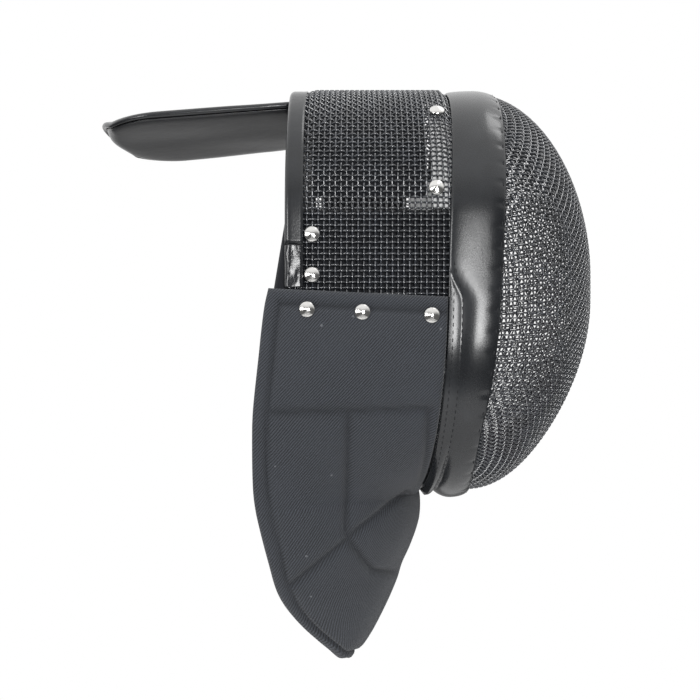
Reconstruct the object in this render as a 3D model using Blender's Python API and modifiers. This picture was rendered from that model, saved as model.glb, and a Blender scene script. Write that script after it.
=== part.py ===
"""Fencing mask: woven face bowl and side mesh, padded trims, riveted bib and spring tongue.

Metres, +Z up, +X is the mask's front and +Y the wearer's left. The origin is the head
seat, on the inner face of the crown pad in the middle plane.
"""

import math

import bmesh
import bpy
from mathutils import Matrix, Vector

MM = 0.001

# Clearances
GAP = 0.3 * MM
EDGE_GAP = 0.5 * MM
CAP_GAP = 0.4 * MM
WELD = 0.03 * MM

# Side mesh, an arch over the head
MASK_WIDTH = 190 * MM
MESH_WALL = 2.0 * MM
ARCH_HEIGHT = 95.9 * MM
SEAT_TO_REAR = 50.5 * MM
MESH_BELOW_BIB_EDGE = 18 * MM
MESH_STEP_LENGTH = 5 * MM
ARCH_SEGMENTS = 36

# Crown pad, whose inner face is the head seat
HEAD_PAD_WALL = 5.0 * MM
HEAD_PAD_FRONT = 27 * MM
HEAD_PAD_REAR = 40 * MM
HEAD_PAD_DROP = 78 * MM
HEAD_PAD_ROUND = 1.5 * MM

# Face bowl
RIM_BELOW_CROWN = 4.0 * MM
RIM_HEIGHT = 248.7 * MM
RIM_SIDE_STRAIGHT = 58 * MM
SEAT_TO_BOWL = 60 * MM
BOWL_DEPTH = 76.0 * MM
BOWL_NOSE_DROP = 122.5 * MM
BROW_FULLNESS = -0.004
CHIN_FLATNESS = 0.049
BOWL_RINGS = 8
RIM_ARC_SEGMENTS = 22
RIM_SIDE_SEGMENTS = 4
RIM_EDGE_GAP = 1.0 * MM

# Front trim, a padded band round the bowl's rim
TRIM_CHIN_REAR = 30 * MM
TRIM_LEAN = 14 * MM
TRIM_WIDTH = 30 * MM
TRIM_EDGE = 1.1 * MM
TRIM_PUFF = 3.0 * MM
TRIM_INNER_SHARES = (1.0, 0.78, 0.56, 0.0)
TRIM_OUTER_SHARES = (0.0, 0.12, 0.3, 0.5, 0.7, 0.88, 1.0)
# columns: height up the rim, forward lean of the rear edge, width, puff, each as a share
TRIM_ROWS = (
    (0.00, 0.00, 1.00, 2.10),
    (0.06, 0.18, 0.86, 1.60),
    (0.16, 0.36, 0.80, 1.15),
    (0.25, 0.46, 0.86, 1.00),
    (0.40, 0.57, 0.93, 1.00),
    (0.57, 0.62, 0.99, 1.00),
    (0.69, 0.71, 0.99, 1.00),
    (1.00, 1.00, 1.05, 0.90),
)

# Rear trim and the two glossy wraps at its lower ends
BINDING_WALL = 1.2 * MM
BINDING_LEG = 8.8 * MM
BINDING_CORNER = 0.3 * MM
WRAP_TOP_DROP = 104.9 * MM
WRAP_BOTTOM_DROP = 127.8 * MM

# Rim strips, riveted behind the side mesh beside the front trim
STRIP_WALL = 1.2 * MM
STRIP_GAP = 0.6 * MM
STRIP_REAR = 27.5 * MM
STRIP_FRONT = 46 * MM
STRIP_TOP_DROP = 25 * MM
STRIP_BOTTOM_DROP = 83.4 * MM

# Side linings, seen through the mesh and behind the rear trim
LINING_WALL = 3.0 * MM
LINING_TOP_DROP = 84.4 * MM
LINING_HEIGHT = 82 * MM
LINING_TOP_REAR = 49.5 * MM
LINING_FLARE = 13.5 * MM
LINING_FRONT = 46 * MM

# Bib
BIB_WALL = 3.6 * MM
BIB_TOP_DROP = 128.4 * MM
BIB_TOP_SLOPE = 4.5 * MM
BIB_LENGTH = 227.8 * MM
BIB_BACK = 69.4 * MM
BIB_CHIN_SWEEP = 42.4 * MM
BIB_UPPER_ROWS = 11
BIB_LOWER_ROWS = 9
BIB_COLUMNS = 8
BIB_BREAK = 0.544
BIB_WRAP_POWER = 2.5
# columns: drop down the bib, distance behind the seat, half width, each as a share
BIB_REAR_ROWS = (
    (0.000, 0.849, 1.000),
    (0.037, 0.877, 1.000),
    (0.095, 0.903, 1.000),
    (0.157, 0.926, 0.993),
    (0.280, 0.977, 0.955),
    (0.339, 0.990, 0.935),
    (0.481, 1.000, 0.830),
    (0.544, 0.979, 0.775),
    (0.675, 0.897, 0.640),
    (0.770, 0.823, 0.520),
    (0.848, 0.679, 0.395),
    (0.907, 0.511, 0.290),
    (0.950, 0.375, 0.200),
    (0.975, 0.300, 0.130),
)
# columns: drop from the chin to the tip, sweep back of the centre line, each as a share
BIB_CENTRE_ROWS = (
    (0.000, 0.000),
    (0.060, -0.030),
    (0.156, -0.025),
    (0.228, 0.020),
    (0.324, 0.115),
    (0.419, 0.225),
    (0.516, 0.305),
    (0.707, 0.525),
    (0.900, 0.795),
    (0.947, 0.917),
    (1.000, 1.000),
)

# Tongue, a covered spring plate with a pad under it
TONGUE_ROOT_INSIDE = 30 * MM
TONGUE_SEAT_GAP = 1.2 * MM
TONGUE_REACH = 123.8 * MM
TONGUE_WIDTH = 96.6 * MM
TONGUE_DROOP = 4.3
TONGUE_ROOT_DROOP = 2.0
TONGUE_ARCH_RISE = 8.6 * MM
TONGUE_TIP_ARCH_SHARE = 0.7
TONGUE_WALL = 3.2 * MM
TONGUE_TIP_LENGTH = 43.3 * MM
TONGUE_PAD_SEAT = 0.9 * MM
TONGUE_PAD_THICK = 8.0 * MM
TONGUE_PAD_MARGIN = 3.0 * MM
TONGUE_PAD_START = 11 * MM
TONGUE_PAD_END_SHARE = 0.35
TONGUE_PAD_EDGE_SHARE = 0.12
TONGUE_TIP_TURN = 84
TONGUE_TIP_POWER = 0.95
TONGUE_TIP_ROWS = 7
TONGUE_COLUMNS = 8
# columns: length from the root to where the tip starts to round, width, each as a share
TONGUE_ROWS = (
    (0.00, 0.30),
    (0.10, 0.36),
    (0.18, 0.44),
    (0.26, 0.86),
    (0.34, 0.92),
    (0.55, 0.95),
    (0.80, 0.985),
)

# Rivets
RIVET_RADIUS = 4.4 * MM
RIVET_HEIGHT = 2.6 * MM
RIVET_BRIM = 0.5 * MM
RIVET_SHANK = 1.5 * MM
RIVET_TAIL_RADIUS = 2.6 * MM
RIVET_TAIL = 0.8 * MM
RIVET_SIDES = 10
REAR_RIVET_INSET = 14.9 * MM
RIM_RIVET_INSET = 8.0 * MM
UPPER_REAR_RIVET_RISE = 6.0 * MM
LOWER_REAR_RIVET_RISE = 6.9 * MM
UPPER_RIM_RIVET_RISE = 0.8 * MM
LOWER_RIM_RIVET_RISE = 10.0 * MM
BIB_RIVET_INSET = 10.6 * MM
BIB_REAR_RIVET_BACK = 2.5 * MM
BIB_MIDDLE_RIVET_X = -8.3 * MM
BIB_FRONT_RIVET_INSET = 9.4 * MM

# columns: radius, height above the cap seat, each as a share of the cap's
RIVET_CAP_ROWS = (
    (0.0, 1.0),
    (0.4, 0.92),
    (0.8, 0.58),
)

# Sizes that follow from the ones above
HALF_WIDTH = MASK_WIDTH / 2
CROWN_Z = HEAD_PAD_WALL + GAP + MESH_WALL
ARCH_CENTRE_Z = CROWN_Z - ARCH_HEIGHT
RIM_TOP_Z = CROWN_Z - RIM_BELOW_CROWN
RIM_BOTTOM_Z = RIM_TOP_Z - RIM_HEIGHT
RIM_LOWER_CENTRE_Z = ARCH_CENTRE_Z - RIM_SIDE_STRAIGHT
BOWL_AXIS_Z = -BOWL_NOSE_DROP
MESH_REAR_X = -SEAT_TO_REAR + BINDING_WALL + GAP
MESH_BOTTOM_Z = -BIB_TOP_DROP - MESH_BELOW_BIB_EDGE
LINING_OUTSET = -(MESH_WALL + BINDING_WALL + 2 * GAP)
BIB_INSET = CAP_GAP
BIB_TIP_Z = -BIB_TOP_DROP - BIB_LENGTH


def material(name, colour, roughness, metallic=0.0):
    made = bpy.data.materials.new(name)
    made.use_nodes = True
    shader = made.node_tree.nodes["Principled BSDF"]
    shader.inputs["Base Color"].default_value = (*colour, 1.0)
    shader.inputs["Roughness"].default_value = roughness
    shader.inputs["Metallic"].default_value = metallic
    return made


def collection(name):
    made = bpy.data.collections.new(name)
    bpy.context.scene.collection.children.link(made)
    return made


def between(low, high, share):
    return low + (high - low) * share


def smooth_step(share):
    share = min(max(share, 0.0), 1.0)
    return share * share * (3 - 2 * share)


def read_rows(rows, key, column):
    """Value of one column of a table at a key of its first column, on a smooth curve."""
    last = len(rows) - 1
    index = 0
    while index < last - 1 and key > rows[index + 1][0]:
        index += 1
    before, low, high, after = (
        rows[max(index - 1, 0)], rows[index], rows[index + 1], rows[min(index + 2, last)])
    span = high[0] - low[0]
    share = min(max((key - low[0]) / span, 0.0), 1.0)

    def slope(left, right):
        return (right[column] - left[column]) / (right[0] - left[0])

    start = slope(before, high) * span
    end = slope(low, after) * span
    rise = high[column] - low[column]
    return low[column] + start * share + (3 * rise - 2 * start - end) * share ** 2 + (
        start + end - 2 * rise) * share ** 3


def link(name, mesh, group, finish):
    made = bpy.data.objects.new(name, mesh)
    group.objects.link(made)
    mesh.materials.append(finish)
    return made


def grid_mesh(name, rows, closed=False, caps=False):
    """Quads between neighbouring rows of points; closed joins each row's ends."""
    mesh = bpy.data.meshes.new(name)
    drawn = bmesh.new()
    verts = [[drawn.verts.new(point) for point in row] for row in rows]
    count = len(rows[0])
    last = count if closed else count - 1
    for lower, upper in zip(verts, verts[1:]):
        for index in range(last):
            following = (index + 1) % count
            drawn.faces.new((lower[index], upper[index], upper[following], lower[following]))
    if caps:
        drawn.faces.new(verts[0])
        drawn.faces.new(list(reversed(verts[-1])))
    drawn.to_mesh(mesh)
    drawn.free()
    mesh.shade_smooth()
    return mesh


def thicken(made, wall, side):
    """Solidify an open sheet; side 1 adds the wall along the normals, -1 against them."""
    modifier = made.modifiers.new("wall", "SOLIDIFY")
    modifier.thickness = wall
    modifier.offset = side
    modifier.use_even_offset = True
    return modifier


# Side mesh arch

def arch_angle(height):
    """Angle on the arch at a height, 0 at the arch centre and 90 degrees at the crown."""
    return math.asin(min(max((height - ARCH_CENTRE_Z) / ARCH_HEIGHT, 0.0), 1.0))


def rim_share(height):
    return (height - RIM_BOTTOM_Z) / RIM_HEIGHT


def trim_rear_x(height):
    return TRIM_CHIN_REAR + TRIM_LEAN * read_rows(TRIM_ROWS, rim_share(height), 1)


def trim_width(height):
    return TRIM_WIDTH * read_rows(TRIM_ROWS, rim_share(height), 2)


def arch_point(x, angle, drop, outset):
    """Point of the side mesh: angle 0 is the wearer's left, 90 degrees the crown."""
    past_trim = x - trim_rear_x(station_height((angle, drop)))
    step = smooth_step((past_trim + MESH_STEP_LENGTH) / (MESH_STEP_LENGTH - EDGE_GAP))
    height = ARCH_HEIGHT - RIM_BELOW_CROWN * step
    normal = Vector((0, math.cos(angle) / HALF_WIDTH, math.sin(angle) / height)).normalized()
    base = Vector((
        x,
        HALF_WIDTH * math.cos(angle),
        ARCH_CENTRE_Z + height * math.sin(angle) - drop))
    return base + normal * outset


def arch_stations(low_z):
    """Angle and drop pairs from the left side at low_z over the crown to the right side."""
    step = math.pi / ARCH_SEGMENTS
    start = arch_angle(low_z)
    drop = max(ARCH_CENTRE_Z - low_z, 0.0)
    inner = [index * step for index in range(1, ARCH_SEGMENTS)]
    angles = [angle for angle in inner if start + step / 2 < angle < math.pi - start - step / 2]
    if drop > 0:
        return [(0.0, drop), (0.0, 0.0)] + [(angle, 0.0) for angle in angles] + [
            (math.pi, 0.0), (math.pi, drop)]
    return [(start, 0.0)] + [(angle, 0.0) for angle in angles] + [(math.pi - start, 0.0)]


def side_stations(high_z, low_z, side):
    """Angle and drop pairs down one side between two heights, on the arch's own steps."""
    step = math.pi / ARCH_SEGMENTS
    high = arch_angle(high_z)
    low = arch_angle(low_z)
    pairs = [(high, max(ARCH_CENTRE_Z - high_z, 0.0))]
    for index in range(ARCH_SEGMENTS // 2, -1, -1):
        angle = index * step
        if low + step / 4 < angle < high - step / 4:
            pairs.append((angle, 0.0))
    if high > 0 and low_z < ARCH_CENTRE_Z:
        pairs.append((0.0, 0.0))
    pairs.append((low, max(ARCH_CENTRE_Z - low_z, 0.0)))
    return [(angle if side > 0 else math.pi - angle, drop) for angle, drop in pairs]


def station_height(station):
    angle, drop = station
    return ARCH_CENTRE_Z + ARCH_HEIGHT * math.sin(angle) - drop


def front_columns(station, front_x):
    """X places from just behind the trim to the front edge of a layer under it."""
    rear = trim_rear_x(station_height(station))
    return [rear - MESH_STEP_LENGTH, rear - EDGE_GAP, front_x]


def side_mesh(group, finish):
    rows = []
    for station in arch_stations(MESH_BOTTOM_Z):
        front = rim_edge_x(station_height(station)) - 2 * RIM_EDGE_GAP
        columns = [MESH_REAR_X] + front_columns(station, front)
        rows.append([arch_point(x, *station, 0.0) for x in columns])
    made = link("side_mesh", grid_mesh("side_mesh", rows), group, finish)
    thicken(made, MESH_WALL, -1)
    return made


# Face bowl

def rim_edge_x(height):
    """Rear edge of the face bowl, in the middle of the front trim."""
    middle = trim_rear_x(height) + trim_width(height) / 2
    return min(middle + RIM_EDGE_GAP, SEAT_TO_BOWL - RIM_EDGE_GAP)


def rim_outline():
    """Points of the rim with their outward normals, anticlockwise seen from the front."""
    outline = []
    upper = RIM_TOP_Z - ARCH_CENTRE_Z
    lower = RIM_LOWER_CENTRE_Z - RIM_BOTTOM_Z

    def arc(centre_z, height, start):
        for index in range(RIM_ARC_SEGMENTS + 1):
            angle = start + math.pi * index / RIM_ARC_SEGMENTS
            point = Vector((
                0, HALF_WIDTH * math.cos(angle), centre_z + height * math.sin(angle)))
            normal = Vector((0, math.cos(angle) / HALF_WIDTH, math.sin(angle) / height))
            outline.append((point, normal.normalized()))

    def straight(side):
        for index in range(1, RIM_SIDE_SEGMENTS):
            share = index / RIM_SIDE_SEGMENTS
            if side < 0:
                height = between(ARCH_CENTRE_Z, RIM_LOWER_CENTRE_Z, share)
            else:
                height = between(RIM_LOWER_CENTRE_Z, ARCH_CENTRE_Z, share)
            outline.append((Vector((0, side * HALF_WIDTH, height)), Vector((0, side, 0))))

    arc(ARCH_CENTRE_Z, upper, 0.0)
    straight(-1)
    arc(RIM_LOWER_CENTRE_Z, lower, math.pi)
    straight(1)
    return outline


def bowl_fullness(point):
    """How far the bowl stands out of a plain ellipsoid towards a point of the rim."""
    height = point.z - BOWL_AXIS_Z
    rise = height / math.hypot(point.y, height)
    if rise > 0:
        return BROW_FULLNESS * rise ** 2
    return -CHIN_FLATNESS * rise ** 2


def bowl_point(rim_point, angle):
    """Point of the bowl on the curve from the rim, at 0, to the nose, at 90 degrees."""
    swell = 1 + bowl_fullness(rim_point) * math.sin(2 * angle) ** 2
    across = math.cos(angle) * swell
    return Vector((
        SEAT_TO_BOWL + BOWL_DEPTH * math.sin(angle) * swell,
        rim_point.y * across,
        BOWL_AXIS_Z + (rim_point.z - BOWL_AXIS_Z) * across))


def face_mesh(group, finish):
    outline = rim_outline()
    rows = [[Vector((rim_edge_x(point.z), point.y, point.z)) for point, normal in outline]]
    for ring in range(BOWL_RINGS):
        angle = math.pi / 2 * ring / BOWL_RINGS
        rows.append([bowl_point(point, angle) for point, normal in outline])
    mesh = grid_mesh("face_mesh", rows, closed=True)
    drawn = bmesh.new()
    drawn.from_mesh(mesh)
    nose = drawn.verts.new((SEAT_TO_BOWL + BOWL_DEPTH, 0, BOWL_AXIS_Z))
    drawn.verts.ensure_lookup_table()
    count = len(outline)
    first = BOWL_RINGS * count
    for index in range(count):
        drawn.faces.new((
            drawn.verts[first + index], nose, drawn.verts[first + (index + 1) % count]))
    drawn.to_mesh(mesh)
    drawn.free()
    mesh.shade_smooth()
    made = link("face_mesh", mesh, group, finish)
    thicken(made, MESH_WALL, 1)
    return made


# Trims

def front_trim(group, finish):
    """Closed band whose inner face follows the two meshes and whose outer face is puffed."""
    rows = []
    for point, normal in rim_outline():
        rear = trim_rear_x(point.z)
        width = trim_width(point.z)
        crest = TRIM_PUFF * read_rows(TRIM_ROWS, rim_share(point.z), 3)

        def place(share, outset):
            x = rear + width * share
            forward = min(max((x - SEAT_TO_BOWL) / BOWL_DEPTH, 0.0), 1.0)
            bowl = bowl_point(point, math.asin(forward))
            return Vector((x, bowl.y, bowl.z)) + normal * outset

        section = [place(share, GAP) for share in TRIM_INNER_SHARES]
        for share in TRIM_OUTER_SHARES:
            puff = math.sqrt(max(1 - (2 * share - 1) ** 2, 0.0))
            section.append(place(share, GAP + between(TRIM_EDGE, crest, puff)))
        rows.append(section)
    rows.append(rows[0])
    mesh = grid_mesh("front_trim", rows, closed=True)
    drawn = bmesh.new()
    drawn.from_mesh(mesh)
    bmesh.ops.remove_doubles(drawn, verts=drawn.verts, dist=WELD)
    bmesh.ops.recalc_face_normals(drawn, faces=drawn.faces)
    drawn.to_mesh(mesh)
    drawn.free()
    return link("front_trim", mesh, group, finish)


def channel(name, stations, group, finish):
    """U channel round the rear edge of the side mesh."""
    rear = -SEAT_TO_REAR + BINDING_WALL
    front = rear + BINDING_LEG
    outer = GAP
    inner = -MESH_WALL - GAP
    section = (
        (front, outer),
        (rear + BINDING_CORNER, outer),
        (rear, outer - BINDING_CORNER),
        (rear, inner + BINDING_CORNER),
        (rear + BINDING_CORNER, inner),
        (front, inner),
    )
    rows = [[arch_point(x, *station, outset) for x, outset in section] for station in stations]
    made = link(name, grid_mesh(name, rows), group, finish)
    thicken(made, BINDING_WALL, -1)
    return made


# Pads, strips and linings

def head_pad(group, finish):
    """Soft pad inside the crown, with rounded front and rear edges."""
    rear = -HEAD_PAD_REAR
    outer = -(MESH_WALL + GAP)
    inner = outer - HEAD_PAD_WALL
    section = (
        (rear + HEAD_PAD_ROUND, outer),
        (HEAD_PAD_FRONT - HEAD_PAD_ROUND, outer),
        (HEAD_PAD_FRONT, outer - HEAD_PAD_ROUND),
        (HEAD_PAD_FRONT, inner + HEAD_PAD_ROUND),
        (HEAD_PAD_FRONT - HEAD_PAD_ROUND, inner),
        (rear + HEAD_PAD_ROUND, inner),
        (rear, inner + HEAD_PAD_ROUND),
        (rear, outer - HEAD_PAD_ROUND),
    )
    rows = [
        [arch_point(x, *station, outset) for x, outset in section]
        for station in arch_stations(-HEAD_PAD_DROP)]
    mesh = grid_mesh("head_pad", rows, closed=True, caps=True)
    return link("head_pad", mesh, group, finish)


def rim_strip(side_name, side, group, finish):
    outset = -(MESH_WALL + STRIP_GAP)
    rows = []
    for station in side_stations(-STRIP_TOP_DROP, -STRIP_BOTTOM_DROP, side):
        columns = [STRIP_REAR] + front_columns(station, STRIP_FRONT)
        rows.append([arch_point(x, *station, outset) for x in columns])
    name = "rim_strip_" + side_name
    made = link(name, grid_mesh(name, rows), group, finish)
    thicken(made, STRIP_WALL, side)
    return made


def side_lining(side_name, side, group, finish):
    rows = []
    top = -LINING_TOP_DROP
    for station in side_stations(top, top - LINING_HEIGHT, side):
        share = (top - station_height(station)) / LINING_HEIGHT
        rear = -LINING_TOP_REAR - LINING_FLARE * share
        rows.append([
            arch_point(between(rear, LINING_FRONT, column / 2), *station, LINING_OUTSET)
            for column in range(3)])
    name = "side_lining_" + side_name
    made = link(name, grid_mesh(name, rows), group, finish)
    thicken(made, LINING_WALL, side)
    return made


# Bib

def bib_rear_point(share):
    return Vector((
        -BIB_BACK * read_rows(BIB_REAR_ROWS, share, 1),
        (HALF_WIDTH + BIB_INSET) * read_rows(BIB_REAR_ROWS, share, 2),
        -BIB_TOP_DROP - BIB_LENGTH * share))


def bib_row(front, rear, wrap):
    """Points from the front edge to the rear edge, straight at wrap 0, round the chin at 1."""
    row = []
    for column in range(BIB_COLUMNS + 1):
        share = column / BIB_COLUMNS
        turn = share * math.pi / 2
        row.append(Vector((
            between(front.x, rear.x, between(share, 1 - math.cos(turn), wrap)),
            between(front.y, rear.y, between(share, math.sin(turn), wrap)),
            between(front.z, rear.z, share))))
    return row


def bib(group, finish):
    """Left half of the inner face, from the mesh down to the tip, mirrored and thickened."""
    rows = []
    lower = RIM_LOWER_CENTRE_Z - RIM_BOTTOM_Z
    top_z = -BIB_TOP_DROP - BIB_TOP_SLOPE
    first = math.asin(min(max((RIM_LOWER_CENTRE_Z - top_z) / lower, -1.0), 1.0))
    for index in range(BIB_UPPER_ROWS):
        share = index / (BIB_UPPER_ROWS - 1)
        angle = between(first, math.pi / 2, share)
        y = (HALF_WIDTH + BIB_INSET) * math.cos(max(angle, 0.0))
        z = RIM_LOWER_CENTRE_Z - lower * math.sin(angle)
        wrap = share ** BIB_WRAP_POWER
        x = trim_rear_x(z) - EDGE_GAP - (BIB_WALL + 2 * EDGE_GAP) * smooth_step(share)
        level = (math.sin(angle) - math.sin(first)) / (1 - math.sin(first))
        if index == BIB_UPPER_ROWS - 1:
            y = 0.0
        rear = bib_rear_point(BIB_BREAK * (level + share) / 2)
        rows.append(bib_row(Vector((x, y, z)), rear, wrap))
    chin = rows[-1][0]
    for index in range(1, BIB_LOWER_ROWS + 1):
        share = index / BIB_LOWER_ROWS
        front = Vector((
            chin.x - BIB_CHIN_SWEEP * read_rows(BIB_CENTRE_ROWS, share, 1),
            0.0,
            between(chin.z, BIB_TIP_Z, share)))
        rear = bib_rear_point(between(BIB_BREAK, BIB_REAR_ROWS[-1][0], share))
        rows.append(bib_row(front, rear, 1.0))
    made = link("bib", grid_mesh("bib", rows), group, finish)
    mirror = made.modifiers.new("other_half", "MIRROR")
    mirror.use_axis = (False, True, False)
    mirror.merge_threshold = WELD
    thicken(made, BIB_WALL, 1)
    return made


# Tongue

def tongue_rows(margin, start_inset):
    """X place and half width of each row across the tongue, from its root to its tip."""
    root = -SEAT_TO_REAR + TONGUE_ROOT_INSIDE
    tip = -SEAT_TO_REAR - TONGUE_REACH
    bend = tip + TONGUE_TIP_LENGTH
    full = TONGUE_WIDTH / 2
    rows = []
    for share, width in TONGUE_ROWS:
        x = between(root, bend, share)
        if x <= root - start_inset:
            rows.append((x, full * width - margin))
    last = math.radians(TONGUE_TIP_TURN)
    for index in range(TONGUE_TIP_ROWS + 1):
        angle = last * index / TONGUE_TIP_ROWS
        rows.append((
            bend - (TONGUE_TIP_LENGTH - margin) * math.sin(angle) / math.sin(last),
            (full - margin) * math.cos(angle) ** TONGUE_TIP_POWER))
    return rows


def tongue_arch_half(x):
    """Half width over which the plate's edges bend down by the whole arch rise."""
    bend = -SEAT_TO_REAR - TONGUE_REACH + TONGUE_TIP_LENGTH
    past_bend = min(max(bend - x, 0.0) / TONGUE_TIP_LENGTH, 1.0)
    share = math.cos(math.asin(past_bend)) ** TONGUE_TIP_POWER
    return TONGUE_WIDTH / 2 * max(share, TONGUE_TIP_ARCH_SHARE)


def tongue_top(x, y):
    """Upper face of the tongue plate."""
    root = -SEAT_TO_REAR + TONGUE_ROOT_INSIDE
    inside = min(root - x, TONGUE_ROOT_INSIDE)
    outside = max(root - x - TONGUE_ROOT_INSIDE, 0.0)
    fall = inside * math.tan(math.radians(TONGUE_ROOT_DROOP)) + outside * math.tan(
        math.radians(TONGUE_DROOP))
    arch = TONGUE_ARCH_RISE * (y / tongue_arch_half(x)) ** 2
    return Vector((x, y, -TONGUE_SEAT_GAP - fall - arch))


def tongue_cover(group, finish):
    rows = []
    for x, half in tongue_rows(0.0, 0.0):
        rows.append([
            tongue_top(x, between(half, -half, column / TONGUE_COLUMNS))
            for column in range(TONGUE_COLUMNS + 1)])
    made = link("tongue_cover", grid_mesh("tongue_cover", rows), group, finish)
    thicken(made, TONGUE_WALL, -1)
    return made


def tongue_pad(group, finish):
    """Puffed pad whose upper face lies under the plate."""
    seat = TONGUE_WALL + TONGUE_PAD_SEAT
    sections = tongue_rows(TONGUE_PAD_MARGIN, TONGUE_PAD_START)
    tip = sections[-1][0]
    root = sections[0][0]
    rows = []
    for x, half in sections:
        near_end = min(abs(x - tip), abs(x - root)) / TONGUE_PAD_THICK
        fade = math.sqrt(1 - max(1 - near_end, 0.0) ** 2)
        body = TONGUE_PAD_THICK * between(TONGUE_PAD_END_SHARE, 1.0, fade)
        upper = []
        lower = []
        for column in range(TONGUE_COLUMNS + 1):
            share = between(1.0, -1.0, column / TONGUE_COLUMNS)
            top = tongue_top(x, half * share)
            puff = body * (1 - (1 - TONGUE_PAD_EDGE_SHARE) * share ** 2)
            upper.append(top - Vector((0, 0, seat)))
            lower.append(top - Vector((0, 0, seat + puff)))
        rows.append(upper + list(reversed(lower)))
    mesh = grid_mesh("tongue_pad", rows, closed=True, caps=True)
    return link("tongue_pad", mesh, group, finish)


# Rivets

def bib_edge_z(x):
    """Height of the bib's top edge at a place along the side."""
    rear = -BIB_BACK * BIB_REAR_ROWS[0][1]
    front = trim_rear_x(-BIB_TOP_DROP)
    return -BIB_TOP_DROP - BIB_TOP_SLOPE * (x - rear) / (front - rear)


def rivet_places():
    """Name, place along the side, height, cap seat and tail seat of the rivets of one side."""
    on_bib = BIB_INSET + BIB_WALL + GAP
    in_lining = LINING_OUTSET - LINING_WALL - GAP
    in_strip = -(MESH_WALL + STRIP_GAP + STRIP_WALL + GAP)
    rear_x = -SEAT_TO_REAR + REAR_RIVET_INSET
    bib_rear_x = rear_x - BIB_REAR_RIVET_BACK
    low = trim_rear_x(-BIB_TOP_DROP) - BIB_FRONT_RIVET_INSET
    places = [
        ("upper_rear", rear_x, -WRAP_TOP_DROP + UPPER_REAR_RIVET_RISE, CAP_GAP, in_lining),
        ("lower_rear", rear_x, -WRAP_BOTTOM_DROP + LOWER_REAR_RIVET_RISE, CAP_GAP, in_lining),
        ("bib_rear", bib_rear_x, bib_edge_z(bib_rear_x) - BIB_RIVET_INSET, on_bib, in_lining),
        ("bib_middle", BIB_MIDDLE_RIVET_X, bib_edge_z(BIB_MIDDLE_RIVET_X) - BIB_RIVET_INSET,
         on_bib, in_lining),
        ("bib_front", low, bib_edge_z(low) - BIB_RIVET_INSET, on_bib, in_lining),
    ]
    for name, height in (
            ("rim_lower", -STRIP_BOTTOM_DROP + LOWER_RIM_RIVET_RISE),
            ("rim_upper", -STRIP_TOP_DROP + UPPER_RIM_RIVET_RISE)):
        x = trim_rear_x(height) - RIM_RIVET_INSET
        places.append((name, x, height, CAP_GAP, in_strip))
    return places


def rivet_matrix(x, height, side):
    """Turn a rivet's axis along the side mesh's outward normal."""
    angle = arch_angle(height)
    drop = max(ARCH_CENTRE_Z - height, 0.0)
    if side < 0:
        angle = math.pi - angle
    origin = arch_point(x, angle, drop, 0.0)
    outward = (arch_point(x, angle, drop, MM) - origin).normalized()
    return Matrix.Translation(origin) @ outward.to_track_quat("Z", "Y").to_matrix().to_4x4()


def turned_rivet(name, cap_seat, tail_seat, group, finish):
    """Cap, shank and tail turned about the rivet's axis."""
    dome = tuple(
        (RIVET_RADIUS * radius, cap_seat + RIVET_HEIGHT * height)
        for radius, height in RIVET_CAP_ROWS)
    profile = dome + (
        (RIVET_RADIUS, cap_seat + RIVET_BRIM),
        (RIVET_RADIUS, cap_seat),
        (RIVET_SHANK, cap_seat),
        (RIVET_SHANK, tail_seat),
        (RIVET_TAIL_RADIUS, tail_seat),
        (RIVET_TAIL_RADIUS, tail_seat - RIVET_TAIL),
        (0.0, tail_seat - RIVET_TAIL),
    )
    mesh = bpy.data.meshes.new(name)
    edges = [(index, index + 1) for index in range(len(profile) - 1)]
    mesh.from_pydata([(radius, 0, height) for radius, height in profile], edges, [])
    made = link(name, mesh, group, finish)
    turn = made.modifiers.new("turned", "SCREW")
    turn.steps = RIVET_SIDES
    turn.render_steps = RIVET_SIDES
    turn.use_merge_vertices = True
    turn.merge_threshold = WELD
    turn.use_smooth_shade = True
    return made


def hole_cutter(name, cap_seat, tail_seat, group):
    bpy.ops.mesh.primitive_cylinder_add(
        vertices=RIVET_SIDES,
        radius=RIVET_SHANK + GAP,
        depth=cap_seat - tail_seat,
        location=(0, 0, (cap_seat + tail_seat) / 2))
    made = bpy.context.object
    made.name = name
    made.data.transform(made.matrix_world)
    for user in list(made.users_collection):
        user.objects.unlink(made)
    group.objects.link(made)
    made.display_type = "WIRE"
    made.hide_render = True
    return made


def rivets(group, cutters, finish):
    for side_name, side in (("left", 1), ("right", -1)):
        for name, x, height, cap_seat, tail_seat in rivet_places():
            place = rivet_matrix(x, height, side)
            full_name = "rivet_" + name + "_" + side_name
            made = turned_rivet(full_name, cap_seat, tail_seat, group, finish)
            made.matrix_world = place
            cutter = hole_cutter("hole_" + name + "_" + side_name, cap_seat, tail_seat, cutters)
            cutter.matrix_world = place


def drill(made, cutters):
    modifier = made.modifiers.new("rivet_holes", "BOOLEAN")
    modifier.operation = "DIFFERENCE"
    modifier.operand_type = "COLLECTION"
    modifier.collection = cutters
    modifier.solver = "EXACT"


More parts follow.
